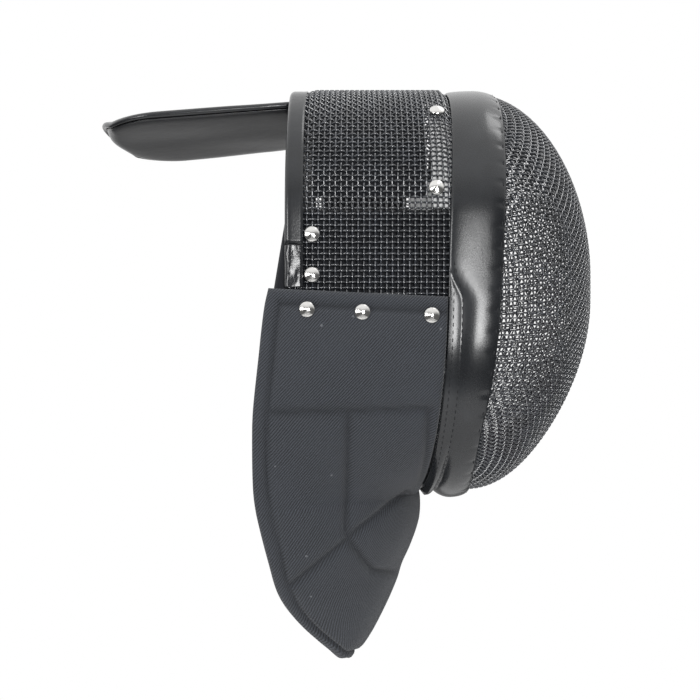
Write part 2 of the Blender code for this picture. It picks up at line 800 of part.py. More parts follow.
def main():
    for old in list(bpy.data.objects):
        bpy.data.objects.remove(old, do_unlink=True)
    parts = collection("fencing_mask")
    cutters = collection("rivet_cutters")

    wire = material("black_wire", (0.012, 0.012, 0.014), 0.45, 0.6)
    vinyl = material("black_vinyl", (0.014, 0.015, 0.018), 0.32)
    gloss = material("gloss_vinyl", (0.016, 0.017, 0.020), 0.22)
    twill = material("charcoal_twill", (0.058, 0.062, 0.070), 0.85)
    lining = material("dark_lining", (0.030, 0.031, 0.036), 0.90)
    white = material("white_strip", (0.75, 0.76, 0.78), 0.60)
    nickel = material("nickel", (0.62, 0.61, 0.58), 0.22, 1.0)

    rivets(parts, cutters, nickel)
    drilled = [side_mesh(parts, wire), bib(parts, twill)]
    face_mesh(parts, wire)
    front_trim(parts, vinyl)
    low = -WRAP_TOP_DROP + EDGE_GAP
    channel("rear_trim", arch_stations(low), parts, vinyl)
    for side_name, side in (("left", 1), ("right", -1)):
        stations = side_stations(-WRAP_TOP_DROP, -WRAP_BOTTOM_DROP, side)
        if side > 0:
            stations = list(reversed(stations))
        channel("edge_wrap_" + side_name, stations, parts, gloss)
        drilled.append(rim_strip(side_name, side, parts, white))
        drilled.append(side_lining(side_name, side, parts, lining))
    head_pad(parts, lining)
    tongue_cover(parts, vinyl)
    tongue_pad(parts, vinyl)
    for made in drilled:
        drill(made, cutters)


main()
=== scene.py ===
"""Fencing mask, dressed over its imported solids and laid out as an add-on that runs as a script.

Metres, +X is the mask's front, +Y the wearer's left, +Z up, and the origin is the head seat.
"""

import math
from bisect import bisect_left

import bmesh
import bpy
import numpy as np
from bpy.props import FloatProperty, FloatVectorProperty, IntProperty, PointerProperty
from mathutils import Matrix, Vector, noise
from mathutils.bvhtree import BVHTree


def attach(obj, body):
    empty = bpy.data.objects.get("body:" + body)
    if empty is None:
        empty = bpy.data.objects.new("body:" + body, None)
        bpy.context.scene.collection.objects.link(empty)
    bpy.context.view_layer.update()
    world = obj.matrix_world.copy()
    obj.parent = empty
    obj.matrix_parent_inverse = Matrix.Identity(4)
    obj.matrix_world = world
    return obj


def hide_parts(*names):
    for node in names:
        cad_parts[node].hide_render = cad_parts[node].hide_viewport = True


bl_info = {
    "name": "Fencing Mask",
    "version": (1, 0, 0),
    "blender": (4, 5, 0),
    "location": "3D View > Sidebar > Mask",
    "description": "Weaves, pads and sews the pieces of a fencing mask over its solids",
    "category": "Add Mesh",
}

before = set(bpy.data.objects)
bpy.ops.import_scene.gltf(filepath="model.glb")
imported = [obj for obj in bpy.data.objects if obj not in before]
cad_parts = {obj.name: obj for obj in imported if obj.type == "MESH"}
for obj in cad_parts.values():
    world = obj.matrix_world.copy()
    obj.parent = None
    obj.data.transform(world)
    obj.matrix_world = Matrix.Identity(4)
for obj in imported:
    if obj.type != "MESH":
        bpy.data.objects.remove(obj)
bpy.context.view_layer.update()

MM = 0.001
ROOT = "root"
SIDES = (("left", 1), ("right", -1))

# Sizes that the solids have too. STRIP_REAR, TRIM_ROWS and TONGUE_ROWS are corrected here
GAP = 0.3 * MM
EDGE_GAP = 0.5 * MM
CAP_GAP = 0.4 * MM
HALF_WIDTH = 95 * MM
MESH_WALL = 2.0 * MM
ARCH_HEIGHT = 95.9 * MM
SEAT_TO_REAR = 50.5 * MM
MESH_BELOW_BIB_EDGE = 18 * MM
MESH_STEP_LENGTH = 5 * MM
HEAD_PAD_WALL = 5.0 * MM
HEAD_PAD_FRONT = 27 * MM
HEAD_PAD_DROP = 78 * MM
RIM_BELOW_CROWN = 4.0 * MM
RIM_HEIGHT = 248.7 * MM
RIM_SIDE_STRAIGHT = 58 * MM
SEAT_TO_BOWL = 60 * MM
BOWL_DEPTH = 76.0 * MM
BOWL_NOSE_DROP = 122.5 * MM
BROW_FULLNESS = -0.004
CHIN_FLATNESS = 0.049
RIM_EDGE_GAP = 1.0 * MM
TRIM_CHIN_REAR = 30 * MM
TRIM_LEAN = 14 * MM
TRIM_WIDTH = 30 * MM
TRIM_EDGE = 1.1 * MM
TRIM_PUFF = 3.0 * MM
# columns: height up the rim, forward lean of the rear edge, width, puff, each as a share
TRIM_ROWS = (
    (0.00, 0.00, 1.00, 2.10),
    (0.06, 0.18, 0.86, 1.60),
    (0.16, 0.36, 0.80, 1.15),
    (0.25, 0.46, 0.86, 1.00),
    (0.40, 0.57, 0.93, 1.00),
    (0.57, 0.62, 0.99, 1.00),
    (0.69, 0.71, 0.99, 1.00),
    (1.00, 1.00, 0.98, 0.90),
)
BINDING_WALL = 1.2 * MM
BINDING_LEG = 8.8 * MM
WRAP_TOP_DROP = 104.9 * MM
WRAP_BOTTOM_DROP = 127.8 * MM
STRIP_WALL = 1.2 * MM
STRIP_GAP = 0.6 * MM
STRIP_REAR = 29.5 * MM
STRIP_FRONT = 46 * MM
STRIP_TOP_DROP = 25 * MM
STRIP_BOTTOM_DROP = 83.4 * MM
LINING_WALL = 3.0 * MM
LINING_TOP_DROP = 84.4 * MM
LINING_HEIGHT = 82 * MM
LINING_TOP_REAR = 49.5 * MM
LINING_FLARE = 13.5 * MM
LINING_FRONT = 46 * MM
BIB_WALL = 3.6 * MM
BIB_TOP_DROP = 128.4 * MM
BIB_TOP_SLOPE = 4.5 * MM
BIB_LENGTH = 227.8 * MM
BIB_BACK = 69.4 * MM
BIB_CHIN_SWEEP = 42.4 * MM
BIB_BREAK = 0.544
BIB_WRAP_POWER = 2.5
# columns: drop down the bib, distance behind the seat, half width, each as a share
BIB_REAR_ROWS = (
    (0.000, 0.849, 1.000),
    (0.037, 0.877, 1.000),
    (0.095, 0.903, 1.000),
    (0.157, 0.926, 0.993),
    (0.280, 0.977, 0.955),
    (0.339, 0.990, 0.935),
    (0.481, 1.000, 0.830),
    (0.544, 0.979, 0.775),
    (0.675, 0.897, 0.640),
    (0.770, 0.823, 0.520),
    (0.848, 0.679, 0.395),
    (0.907, 0.511, 0.290),
    (0.950, 0.375, 0.200),
    (0.975, 0.300, 0.130),
)
# columns: drop from the chin to the tip, sweep back of the centre line, each as a share
BIB_CENTRE_ROWS = (
    (0.000, 0.000),
    (0.060, -0.030),
    (0.156, -0.025),
    (0.228, 0.020),
    (0.324, 0.115),
    (0.419, 0.225),
    (0.516, 0.305),
    (0.707, 0.525),
    (0.900, 0.795),
    (0.947, 0.917),
    (1.000, 1.000),
)
TONGUE_ROOT_INSIDE = 30 * MM
TONGUE_SEAT_GAP = 1.2 * MM
TONGUE_REACH = 123.8 * MM
TONGUE_WIDTH = 96.6 * MM
TONGUE_DROOP = 4.3
TONGUE_ROOT_DROOP = 2.0
TONGUE_ARCH_RISE = 8.6 * MM
TONGUE_TIP_ARCH_SHARE = 0.7
TONGUE_WALL = 3.2 * MM
TONGUE_TIP_LENGTH = 43.3 * MM
TONGUE_PAD_SEAT = 0.9 * MM
TONGUE_PAD_THICK = 8.0 * MM
TONGUE_PAD_MARGIN = 3.0 * MM
TONGUE_PAD_START = 11 * MM
TONGUE_TIP_POWER = 0.95
# columns: length from the root to where the tip starts to round, width, each as a share
TONGUE_ROWS = (
    (0.00, 0.30),
    (0.10, 0.36),
    (0.18, 0.44),
    (0.26, 0.86),
    (0.34, 0.92),
    (0.55, 0.95),
    (0.80, 0.985),
    (1.00, 1.00),
)
RIVET_SHANK = 1.5 * MM
RIVET_TAIL_RADIUS = 2.6 * MM
RIVET_TAIL = 0.8 * MM
REAR_RIVET_INSET = 14.9 * MM
RIM_RIVET_INSET = 8.0 * MM
UPPER_REAR_RIVET_RISE = 6.0 * MM
LOWER_REAR_RIVET_RISE = 6.9 * MM
UPPER_RIM_RIVET_RISE = 0.8 * MM
LOWER_RIM_RIVET_RISE = 10.0 * MM
BIB_RIVET_INSET = 10.6 * MM
BIB_REAR_RIVET_BACK = 2.5 * MM
BIB_MIDDLE_RIVET_X = -8.3 * MM
BIB_FRONT_RIVET_INSET = 9.4 * MM

CROWN_Z = HEAD_PAD_WALL + GAP + MESH_WALL
ARCH_CENTRE_Z = CROWN_Z - ARCH_HEIGHT
RIM_TOP_Z = CROWN_Z - RIM_BELOW_CROWN
RIM_BOTTOM_Z = RIM_TOP_Z - RIM_HEIGHT
RIM_LOWER_CENTRE_Z = ARCH_CENTRE_Z - RIM_SIDE_STRAIGHT
BOWL_AXIS_Z = -BOWL_NOSE_DROP
MESH_REAR_X = -SEAT_TO_REAR + BINDING_WALL + GAP
MESH_BOTTOM_Z = -BIB_TOP_DROP - MESH_BELOW_BIB_EDGE
LINING_OUTSET = -(MESH_WALL + BINDING_WALL + 2 * GAP)
BIB_INSET = CAP_GAP
BIB_TIP_Z = -BIB_TOP_DROP - BIB_LENGTH

# Sizes that only the scene uses
FACE_WIRE_LIFT = 0.3 * MM
REAR_DIP = 4.0 * MM
REAR_DIP_START = -37 * MM
REAR_DIP_LENGTH = 4.5 * MM
CROWN_PAD_REAR = -36.5 * MM
TRIM_HEM = 2.8 * MM
TRIM_FLANGE = 7.6 * MM
TRIM_FLANGE_PUFF = 0.35 * MM
TRIM_CHIN_PUFF = 3.2 * MM
TRIM_CHIN_Z = -205 * MM
TRIM_CHIN_RUN = 35 * MM
TRIM_DART_Z = -112 * MM
TRIM_DART_RUN = 24 * MM
TRIM_LACE_PITCH = 11.5 * MM
TRIM_PUCKER = 1.1 * MM
BIB_EDGE_POWER = 1.8
BIB_HEM = 8.0 * MM
BIB_CAST_REACH = 0.2
TONGUE_TIP_DROP = 1.5 * MM
TONGUE_TIP_FADE = 9 * MM
CROWN_SINE_START = 0.8
CROWN_SINE_RUN = 0.19
FIRST_WIRE = 0.4
CRIMP_SHARE = 0.24
TRIM_PITCH = 1.4 * MM
TRIM_LACE_INSET = 1.6 * MM
TRIM_LACE_SHARE = 0.93
TRIM_LACE_POWER = 24
TRIM_PUCKER_REACH = 4 * MM
BINDING_PITCH = 2.4 * MM
WRAP_PITCH = 0.7 * MM
CREASE_SIZE = 3.4 * MM
CROWN_PITCH = 3.0 * MM
CROWN_CHANNELS = 5
CROWN_EDGE = 0.8 * MM
CROWN_EDGE_SINK = 0.6 * MM
LINING_PITCH = 2.5 * MM
LINING_QUILT = 22 * MM
WEBBING_RIB = 1.3 * MM
BIB_GROOVE = 2.1 * MM
BIB_LOFT = 0.8 * MM
BIB_LOFT_REACH = 9 * MM
BIB_EDGE_REACH = 4 * MM
BIB_INNER_LIFT = 0.15 * MM
TONGUE_PIPE = 0.5 * MM
TONGUE_PIPE_INSET = 2.2 * MM
TONGUE_PIPE_WIDTH = 1.5 * MM
TONGUE_TIP_HALF = 0.8 * MM
# columns: radius and height of the cap from its top to its underside, each as a share
RIVET_ROWS = (
    (0.00, 1.00),
    (0.10, 0.985),
    (0.25, 0.92),
    (0.45, 0.80),
    (0.65, 0.65),
    (0.82, 0.50),
    (0.93, 0.36),
    (0.985, 0.22),
    (1.00, 0.12),
    (0.98, 0.03),
    (0.93, 0.00),
)
# columns: radius and height of the tail below its seat, each as a share
TAIL_ROWS = (
    (1.00, 0.00),
    (1.02, 0.50),
    (0.90, 1.00),
    (0.00, 0.75),
)
# columns: x and z of each point of the quilting seams, in millimetres
BIB_SEAMS = (
    ((-60.0, -195.2), (29.4, -191.9)),
    ((-15.5, -195.2), (-18.4, -263.3), (-17.3, -268.4)),
    ((-17.3, -268.4), (-50.1, -296.3)),
    ((-17.3, -268.4), (-11.6, -263.3), (4.8, -252.0), (17.8, -243.5)),
    ((-17.3, -268.4), (-3.4, -290.3), (9.3, -296.5)),
    ((28.6, -193.5), (28.5, -216.3), (26.7, -236.0)),
)

# Counts of the faces that the shapes are made of
ARCH_SAMPLES = 1440
SIDE_SAMPLES = 200
TRIM_STEPS = 44
TRIM_BACK_STEPS = 8
CHANNEL_STEPS = 16
CHANNEL_LEG = 4
CROWN_STEPS = 22
LINING_COLUMNS = 40
WEBBING_COLUMNS = 16
BIB_COLUMNS = 64
BIB_UPPER_ROWS = 60
BIB_LOWER_ROWS = 84
BIB_HEM_STEPS = 90
TONGUE_COLUMNS = 40
TONGUE_STEPS = 80
RIVET_SIDES = 40

# Limits of the search for the face's wire crossings
NET_ROUNDS = 12
NET_MISS = 1e-7
SLOPE_STEP = 0.02 * MM
TINY = 1e-9

# The photograph's camera
CAMERA_PLACE = (-0.015, -0.555, -0.1859)
CAMERA_LENS = 43.714
CAMERA_SHIFT = 0.0643
FLOOR_Z = -0.62
FLOOR_RADIUS = 0.6
FLOOR_SIDES = 64
ROOM_DIM = 0.12
ROOM_BRIGHT = 1.05
ROOM_LEAN = (0.0, 0.38, 1.0)
ROOM_RAMP = (-0.12, 0.52)
# columns: name, place, target, width, height, radiance
SOFTBOXES = (
    ("side_softbox", (0.13, -1.0, -0.15), (0.0, 0.0, -0.13), 0.30, 0.34, 16.5),
    ("rear_softbox", (-0.75, -0.8, 0.0), (0.0, 0.0, -0.13), 0.35, 0.35, 9.0),
    ("front_softbox", (0.55, 0.0, 1.05), (0.05, 0.0, -0.1), 0.45, 0.45, 3.0),
)


class MaskSizes(bpy.types.PropertyGroup):
    """Sizes of the dressed mask's own detail."""

    mesh_pitch: FloatProperty(
        name="Mesh Pitch", description="Distance between neighbouring wires",
        default=3.1 * MM, unit="LENGTH")
    wire_diameter: FloatProperty(
        name="Wire Diameter", description="Thickness of the woven wire",
        default=1.15 * MM, unit="LENGTH")
    wire_sides: IntProperty(
        name="Wire Sides", description="Faces round each wire", default=6)
    rivet_radius: FloatProperty(
        name="Rivet Radius", description="Radius of a rivet cap", default=4.4 * MM, unit="LENGTH")
    rivet_height: FloatProperty(
        name="Rivet Height", description="Height of a rivet cap", default=2.6 * MM, unit="LENGTH")
    stitch_length: FloatProperty(
        name="Stitch Length", description="Length of one stitch", default=2.6 * MM, unit="LENGTH")
    thread_diameter: FloatProperty(
        name="Thread Diameter", description="Thickness of the thread",
        default=0.45 * MM, unit="LENGTH")
    quilt_depth: FloatProperty(
        name="Quilt Depth", description="Depth of a quilted seam in the bib",
        default=2.0 * MM, unit="LENGTH")
    twill_pitch: FloatProperty(
        name="Twill Pitch", description="Distance between the twill's ribs",
        default=1.3 * MM, unit="LENGTH")


class MaskColours(bpy.types.PropertyGroup):
    """Colours of the dressed mask."""

    wire: FloatVectorProperty(
        name="Wire", description="Paint on the wire", subtype="COLOR",
        default=(0.020, 0.023, 0.029))
    vinyl: FloatVectorProperty(
        name="Vinyl", description="Coated cloth of the trims and tongue", subtype="COLOR",
        default=(0.013, 0.0145, 0.017))
    gloss: FloatVectorProperty(
        name="Glossy Vinyl", description="Coated cloth of the two wraps", subtype="COLOR",
        default=(0.014, 0.015, 0.018))
    twill: FloatVectorProperty(
        name="Twill", description="Cloth of the bib", subtype="COLOR",
        default=(0.034, 0.038, 0.046))
    lining: FloatVectorProperty(
        name="Lining", description="Soft lining cloth", subtype="COLOR",
        default=(0.008, 0.009, 0.012))
    webbing: FloatVectorProperty(
        name="Webbing", description="White webbing behind the rim rivets", subtype="COLOR",
        default=(0.93, 0.935, 0.94))
    nickel: FloatVectorProperty(
        name="Nickel", description="Plated rivet caps", subtype="COLOR",
        default=(0.78, 0.77, 0.75))


def add_node(tree, kind, settings=None, sockets=None):
    """Node with its settings, and each socket linked to another or given a value."""
    made = tree.nodes.new(kind)
    for setting, value in (settings or {}).items():
        setattr(made, setting, value)
    for key, value in (sockets or {}).items():
        if isinstance(value, bpy.types.NodeSocket):
            tree.links.new(value, made.inputs[key])
        else:
            made.inputs[key].default_value = value
    return made


class Value:
    """A number on a shader socket that takes part in ordinary sums."""

    def __init__(self, finish, socket):
        self.finish = finish
        self.socket = socket

    def maths(self, operation, *values):
        return self.finish.node(
            "ShaderNodeMath", {"operation": operation}, dict(enumerate(values)))

    def __add__(self, other):
        return self.maths("ADD", self, other)

    __radd__ = __add__

    def __sub__(self, other):
        return self.maths("SUBTRACT", self, other)

    def __rsub__(self, other):
        return self.maths("SUBTRACT", other, self)

    def __mul__(self, other):
        return self.maths("MULTIPLY", self, other)

    def wave(self, pitch):
        """From 0 to 1 and back once in every pitch."""
        return self.maths("SINE", self * (2 * math.pi / pitch)) * 0.5 + 0.5

    def eased(self, low, high):
        """0 below low, 1 above high and smooth between them."""
        return self.finish.node(
            "ShaderNodeMapRange", {"interpolation_type": "SMOOTHSTEP"},
            {0: self, 1: low, 2: high})


class Finish:
    """One procedural material on a Principled shader."""

    def __init__(self, name, **fixed):
        self.material = bpy.data.materials.new(name)
        self.material.use_nodes = True
        self.tree = self.material.node_tree
        self.shader = self.tree.nodes["Principled BSDF"]
        for socket, value in fixed.items():
            self.shader.inputs[socket.replace("_", " ")].default_value = value

    def node(self, kind, settings=None, sockets=None, output=0):
        plain_sockets = {
            key: getattr(value, "socket", value) for key, value in (sockets or {}).items()}
        made = add_node(self.tree, kind, settings, plain_sockets)
        return Value(self, made.outputs[output])

    def place(self):
        return self.node("ShaderNodeTexCoord", output=3)

    def cloth(self):
        return self.node("ShaderNodeUVMap", {"uv_map": "cloth"})

    def stored(self, name):
        """A number kept on the mesh under this name."""
        return self.node("ShaderNodeAttribute", {"attribute_name": name}, output=2)

    def axis(self, vector, index):
        return self.node("ShaderNodeSeparateXYZ", sockets={0: vector}, output=index)

    def stretched(self, vector, scale):
        return self.node("ShaderNodeMapping", sockets={0: vector, 3: scale})

    def noise(self, vector, scale, detail=2.0, roughness=0.5):
        return self.node(
            "ShaderNodeTexNoise",
            sockets={"Vector": vector, "Scale": scale, "Detail": detail, "Roughness": roughness})

    def cells(self, vector, scale, feature="F1"):
        return self.node(
            "ShaderNodeTexVoronoi", {"feature": feature}, {"Vector": vector, "Scale": scale})

    def mixed(self, share, low, high):
        sides = {0: share, 6: low, 7: high}
        return self.node("ShaderNodeMix", {"data_type": "RGBA"}, sides, 2)

    def bump(self, height, distance, below=None):
        sockets = {"Distance": distance, "Height": height}
        if below:
            sockets["Normal"] = below
        return self.node("ShaderNodeBump", sockets=sockets)

    def feed(self, **links):
        for socket, value in links.items():
            self.tree.links.new(value.socket, self.shader.inputs[socket.replace("_", " ")])
        return self.material


def shade(colour, factor):
    """A colour made lighter or darker, with full alpha."""
    return (*[min(part * factor, 1.0) for part in colour], 1.0)


def wire_finish(colours):
    """Satin black paint, thinner and duller in places."""
    finish = Finish("painted_wire", IOR=2.1)
    place = finish.place()
    blotch = finish.noise(place, 90, 3)
    dust = finish.noise(place, 700, 2)
    return finish.feed(
        Base_Color=finish.mixed(
            blotch.eased(0.35, 0.7), shade(colours.wire, 0.75), shade(colours.wire, 1.5)),
        Roughness=0.1 + blotch * 0.1 + dust * 0.04,
        Normal=finish.bump(dust, 0.02 * MM))


def vinyl_finish(name, tone, gloss, crease, pebble=0.05 * MM):
    """Coated cloth with a fine pebble grain and soft creases."""
    finish = Finish(name, IOR=1.5, Coat_Roughness=gloss)
    place = finish.place()
    grain = finish.cells(place, 1100, "SMOOTH_F1")
    creases = finish.noise(finish.stretched(place, (1.0, 1.0, 0.35)), 130, 4, 0.55)
    patches = finish.noise(place, 38, 3)
    rubbed = patches.eased(0.45, 0.75)
    normal = finish.bump(creases, crease)
    return finish.feed(
        Base_Color=finish.mixed(rubbed, shade(tone, 0.85), shade(tone, 1.3)),
        Roughness=gloss + patches * 0.14 + grain * 0.05,
        Coat_Weight=0.25 + patches * 0.2,
        Normal=finish.bump(grain, pebble, normal))


def twill_finish(colours, pitch):
    """Charcoal twill with slanting ribs, uneven dye, specks of lint and painted shade along the
    quilting grooves.
    """
    finish = Finish("quilted_twill", IOR=1.4, Sheen_Weight=0.12, Sheen_Roughness=0.6)
    cloth = finish.cloth()
    across = finish.axis(cloth, 0)
    down = finish.axis(cloth, 1)
    wobble = finish.noise(cloth, 320, 2) * (0.5 * pitch)
    rib = (across * 0.78 + down * 0.62 + wobble).wave(pitch)
    float_ends = (across * 0.62 - down * 0.78).wave(pitch * 0.62)
    yarn = rib * (0.72 + float_ends * 0.28)
    dye = finish.noise(cloth, 26, 4, 0.6)
    fleck = finish.noise(cloth, 1500, 1).eased(0.45, 0.75)
    lint = 1 - finish.cells(cloth, 60).eased(0.03, 0.055)
    tone = finish.mixed(yarn * 0.7 + fleck * 0.3, shade(colours.twill, 0.12),
                        shade(colours.twill, 2.4))
    tone = finish.mixed(dye.eased(0.3, 0.7) * 0.35, tone, shade(colours.twill, 1.25))
    tone = finish.mixed(lint * 0.35, tone, (0.30, 0.31, 0.33, 1.0))
    # Painted shade: the twill is darkened where the bib's quilting grooves are pressed in.
    seam = finish.stored("seam")
    tone = finish.mixed(seam * 0.4, tone, shade(colours.twill, 0.25))
    return finish.feed(
        Base_Color=tone,
        Roughness=0.78 + fleck * 0.14,
        Normal=finish.bump(yarn, 0.2 * MM, finish.bump(dye, 0.5 * MM)))


def lining_finish(colours):
    """Brushed knit with short pile."""
    finish = Finish("brushed_lining", IOR=1.4, Sheen_Weight=0.25, Sheen_Roughness=0.5)
    cloth = finish.cloth()
    column = finish.axis(cloth, 0).wave(0.9 * MM)
    course = finish.axis(cloth, 1).wave(0.7 * MM)
    pile = finish.noise(cloth, 1400, 3, 0.6)
    soft = finish.noise(cloth, 60, 3)
    knit = column * course * 0.6 + pile * 0.4
    return finish.feed(
        Base_Color=finish.mixed(
            knit * 0.6 + soft * 0.4, shade(colours.lining, 0.6), shade(colours.lining, 1.7)),
        Roughness=0.86 + pile * 0.12,
        Normal=finish.bump(knit, 0.15 * MM))


def webbing_finish(colours):
    """White webbing with ribs across it."""
    finish = Finish("white_webbing", IOR=1.45)
    cloth = finish.cloth()
    rib = finish.axis(cloth, 1).wave(1.3 * MM)
    yarn = finish.axis(cloth, 0).wave(0.8 * MM)
    grime = finish.noise(cloth, 70, 4, 0.6).eased(0.5, 0.8)
    weave = rib * 0.6 + yarn * 0.4
    clean = finish.mixed(weave, shade(colours.webbing, 0.85), shade(colours.webbing, 1.06))
    return finish.feed(
        Base_Color=finish.mixed(grime * 0.2, clean, shade(colours.webbing, 0.55)),
        Roughness=0.6 + weave * 0.2,
        Normal=finish.bump(weave, 0.18 * MM))


def nickel_finish(colours):
    """Bright plate with lathe rings round each cap, fine scratches and dull spots."""
    finish = Finish("nickel_plate", Metallic=1.0)
    place = finish.place()
    ring = finish.stored("turning").wave(0.22 * MM)
    scratch = finish.noise(place, 1400, 2)
    dull = finish.noise(place, 260, 3).eased(0.5, 0.8)
    return finish.feed(
        Base_Color=finish.mixed(dull, shade(colours.nickel, 1.0), shade(colours.nickel, 0.8)),
        Roughness=0.1 + dull * 0.12 + scratch * 0.06,
        Normal=finish.bump(ring + scratch * 0.3, 0.012 * MM))


def thread_finish(name, colour):
    """Twisted sewing thread."""
    finish = Finish(name, IOR=1.45)
    place = finish.place()
    fibre = finish.noise(place, 2600, 2)
    return finish.feed(
        Base_Color=finish.mixed(fibre, shade(colour, 0.6), shade(colour, 1.3)),
        Roughness=0.5 + fibre * 0.3,
        Normal=finish.bump(fibre, 0.05 * MM))


def floor_finish():
    """Plain pale floor."""
    finish = Finish("pale_floor", Roughness=0.7, Emission_Strength=0.1)
    finish.shader.inputs["Emission Color"].default_value = (1.0, 1.0, 1.0, 1.0)
    place = finish.place()
    cloud = finish.noise(place, 3, 2)
    return finish.feed(
        Base_Color=finish.mixed(cloud, (0.6, 0.6, 0.6, 1.0), (0.64, 0.64, 0.64, 1.0)))


def between(low, high, share):
    return low + (high - low) * share


def clamp(value, low=0.0, high=1.0):
    return min(max(value, low), high)


def smooth_step(share):
    share = clamp(share)
    return share * share * (3 - 2 * share)


def run_lengths(points):
    """Distance along a chain of points to each of them."""
    lengths = [0.0]
    for before, after in zip(points, points[1:]):
        lengths.append(lengths[-1] + (after - before).length)
    return lengths


def locate(lengths, target):
    """Segment of a chain that a distance along it falls in, and the share of that segment."""
    index = clamp(bisect_left(lengths, target) - 1, 0, len(lengths) - 2)
    span = max(lengths[index + 1] - lengths[index], TINY)
    return index, clamp((target - lengths[index]) / span)


def read_rows(rows, key, column):
    """Value of one column of a table at a key of its first column, on a smooth curve."""
    last = len(rows) - 1
    index = 0
    while index < last - 1 and key > rows[index + 1][0]:
        index += 1
    before, low, high, after = (
        rows[max(index - 1, 0)], rows[index], rows[index + 1], rows[min(index + 2, last)])
    span = high[0] - low[0]
    share = clamp((key - low[0]) / span)

    def slope(left, right):
        return (right[column] - left[column]) / (right[0] - left[0])

    start = slope(before, high) * span
    end = slope(low, after) * span
    rise = high[column] - low[column]
    return low[column] + start * share + (3 * rise - 2 * start - end) * share ** 2 + (
        start + end - 2 * rise) * share ** 3


def arch_angle(height):
    return math.asin(clamp((height - ARCH_CENTRE_Z) / ARCH_HEIGHT))


def station_at(height, side):
    """Angle and drop of a height on one side of the side mesh."""
    angle = arch_angle(height)
    return angle if side > 0 else math.pi - angle, max(ARCH_CENTRE_Z - height, 0.0)


def rim_share(height):
    return (height - RIM_BOTTOM_Z) / RIM_HEIGHT


def trim_rear_x(height):
    return TRIM_CHIN_REAR + TRIM_LEAN * read_rows(TRIM_ROWS, rim_share(height), 1)


def trim_width(height):
    return TRIM_WIDTH * read_rows(TRIM_ROWS, rim_share(height), 2)


def rim_edge_x(height):
    """Rear edge of the face bowl, in the middle of the front trim."""
    middle = trim_rear_x(height) + trim_width(height) / 2
    return min(middle + RIM_EDGE_GAP, SEAT_TO_BOWL - RIM_EDGE_GAP)


def arch_point(x, station, outset):
    """Point and outward normal of the side mesh at an angle and a drop below the arch."""
    angle, drop = station
    past_trim = x - trim_rear_x(ARCH_CENTRE_Z + ARCH_HEIGHT * math.sin(angle) - drop)
    step = smooth_step((past_trim + MESH_STEP_LENGTH) / (MESH_STEP_LENGTH - EDGE_GAP))
    crown = smooth_step((math.sin(angle) - CROWN_SINE_START) / CROWN_SINE_RUN)
    dip = crown * smooth_step((REAR_DIP_START - x) / REAR_DIP_LENGTH)
    height = ARCH_HEIGHT - RIM_BELOW_CROWN * step - REAR_DIP * dip
    normal = Vector((0, math.cos(angle) / HALF_WIDTH, math.sin(angle) / height)).normalized()
    base = Vector((
        x, HALF_WIDTH * math.cos(angle), ARCH_CENTRE_Z + height * math.sin(angle) - drop))
    return base + normal * outset, normal


def station_height(station):
    return ARCH_CENTRE_Z + ARCH_HEIGHT * math.sin(station[0]) - station[1]


def even_stations(low_z, pitch):
    """Angle and drop pairs a pitch apart, from the left side over the crown to the right."""
    start, drop = station_at(low_z, 1)
    dense = [
        (between(start, math.pi - start, index / ARCH_SAMPLES), 0.0)
        for index in range(ARCH_SAMPLES + 1)]
    if drop > 0:
        falls = range(SIDE_SAMPLES)
        dense = [(0.0, drop * (1 - index / SIDE_SAMPLES)) for index in falls] + dense
        dense += [(math.pi, drop * (index + 1) / SIDE_SAMPLES) for index in falls]
    lengths = run_lengths([arch_point(0.0, station, 0.0)[0] for station in dense])
    count = max(round(lengths[-1] / pitch), 1)
    stations = []
    for number in range(count + 1):
        index, share = locate(lengths, lengths[-1] * number / count)
        stations.append(tuple(
            between(low, high, share) for low, high in zip(dense[index], dense[index + 1])))
    return stations


def side_stations(high_z, low_z, side, pitch):
    """Stations a pitch apart down one side, from high_z to low_z."""
    chosen = [
        station for station in even_stations(low_z, pitch)
        if station_height(station) <= high_z and station[0] <= math.pi / 2]
    chosen = [station_at(high_z, 1)] + chosen[::-1]
    return [(angle if side > 0 else math.pi - angle, drop) for angle, drop in chosen]


def rim_outline(pitch):
    """Points of the rim with outward normals, anticlockwise seen from the front."""
    outline = []
    upper = RIM_TOP_Z - ARCH_CENTRE_Z
    lower = RIM_LOWER_CENTRE_Z - RIM_BOTTOM_Z

    def arc(centre_z, height, start):
        count = round(math.pi * (HALF_WIDTH + height) / 2 / pitch)
        for index in range(count + 1):
            angle = start + math.pi * index / count
            point = Vector((0, HALF_WIDTH * math.cos(angle), centre_z + height * math.sin(angle)))
            normal = Vector((0, math.cos(angle) / HALF_WIDTH, math.sin(angle) / height))
            outline.append((point, normal.normalized()))

    def straight(side):
        count = round(RIM_SIDE_STRAIGHT / pitch)
        for index in range(1, count):
            share = index / count if side < 0 else 1 - index / count
            height = between(ARCH_CENTRE_Z, RIM_LOWER_CENTRE_Z, share)
            outline.append((Vector((0, side * HALF_WIDTH, height)), Vector((0, side, 0))))

    arc(ARCH_CENTRE_Z, upper, 0.0)
    straight(-1)
    arc(RIM_LOWER_CENTRE_Z, lower, math.pi)
    straight(1)
    return outline


def bowl_fullness(across, height):
    """How far the bowl stands out of a plain ellipsoid towards a direction from its axis."""
    rise = height / max(math.hypot(across, height), TINY)
    return BROW_FULLNESS * rise ** 2 if rise > 0 else -CHIN_FLATNESS * rise ** 2


def bowl_point(rim_point, angle):
    """Point of the bowl on the curve from the rim, at 0, to the nose, at 90 degrees."""
    height = rim_point.z - BOWL_AXIS_Z
    swell = 1 + bowl_fullness(rim_point.y, height) * math.sin(2 * angle) ** 2
    across = math.cos(angle) * swell
    return Vector((
        SEAT_TO_BOWL + BOWL_DEPTH * math.sin(angle) * swell,
        rim_point.y * across,
        BOWL_AXIS_Z + height * across))


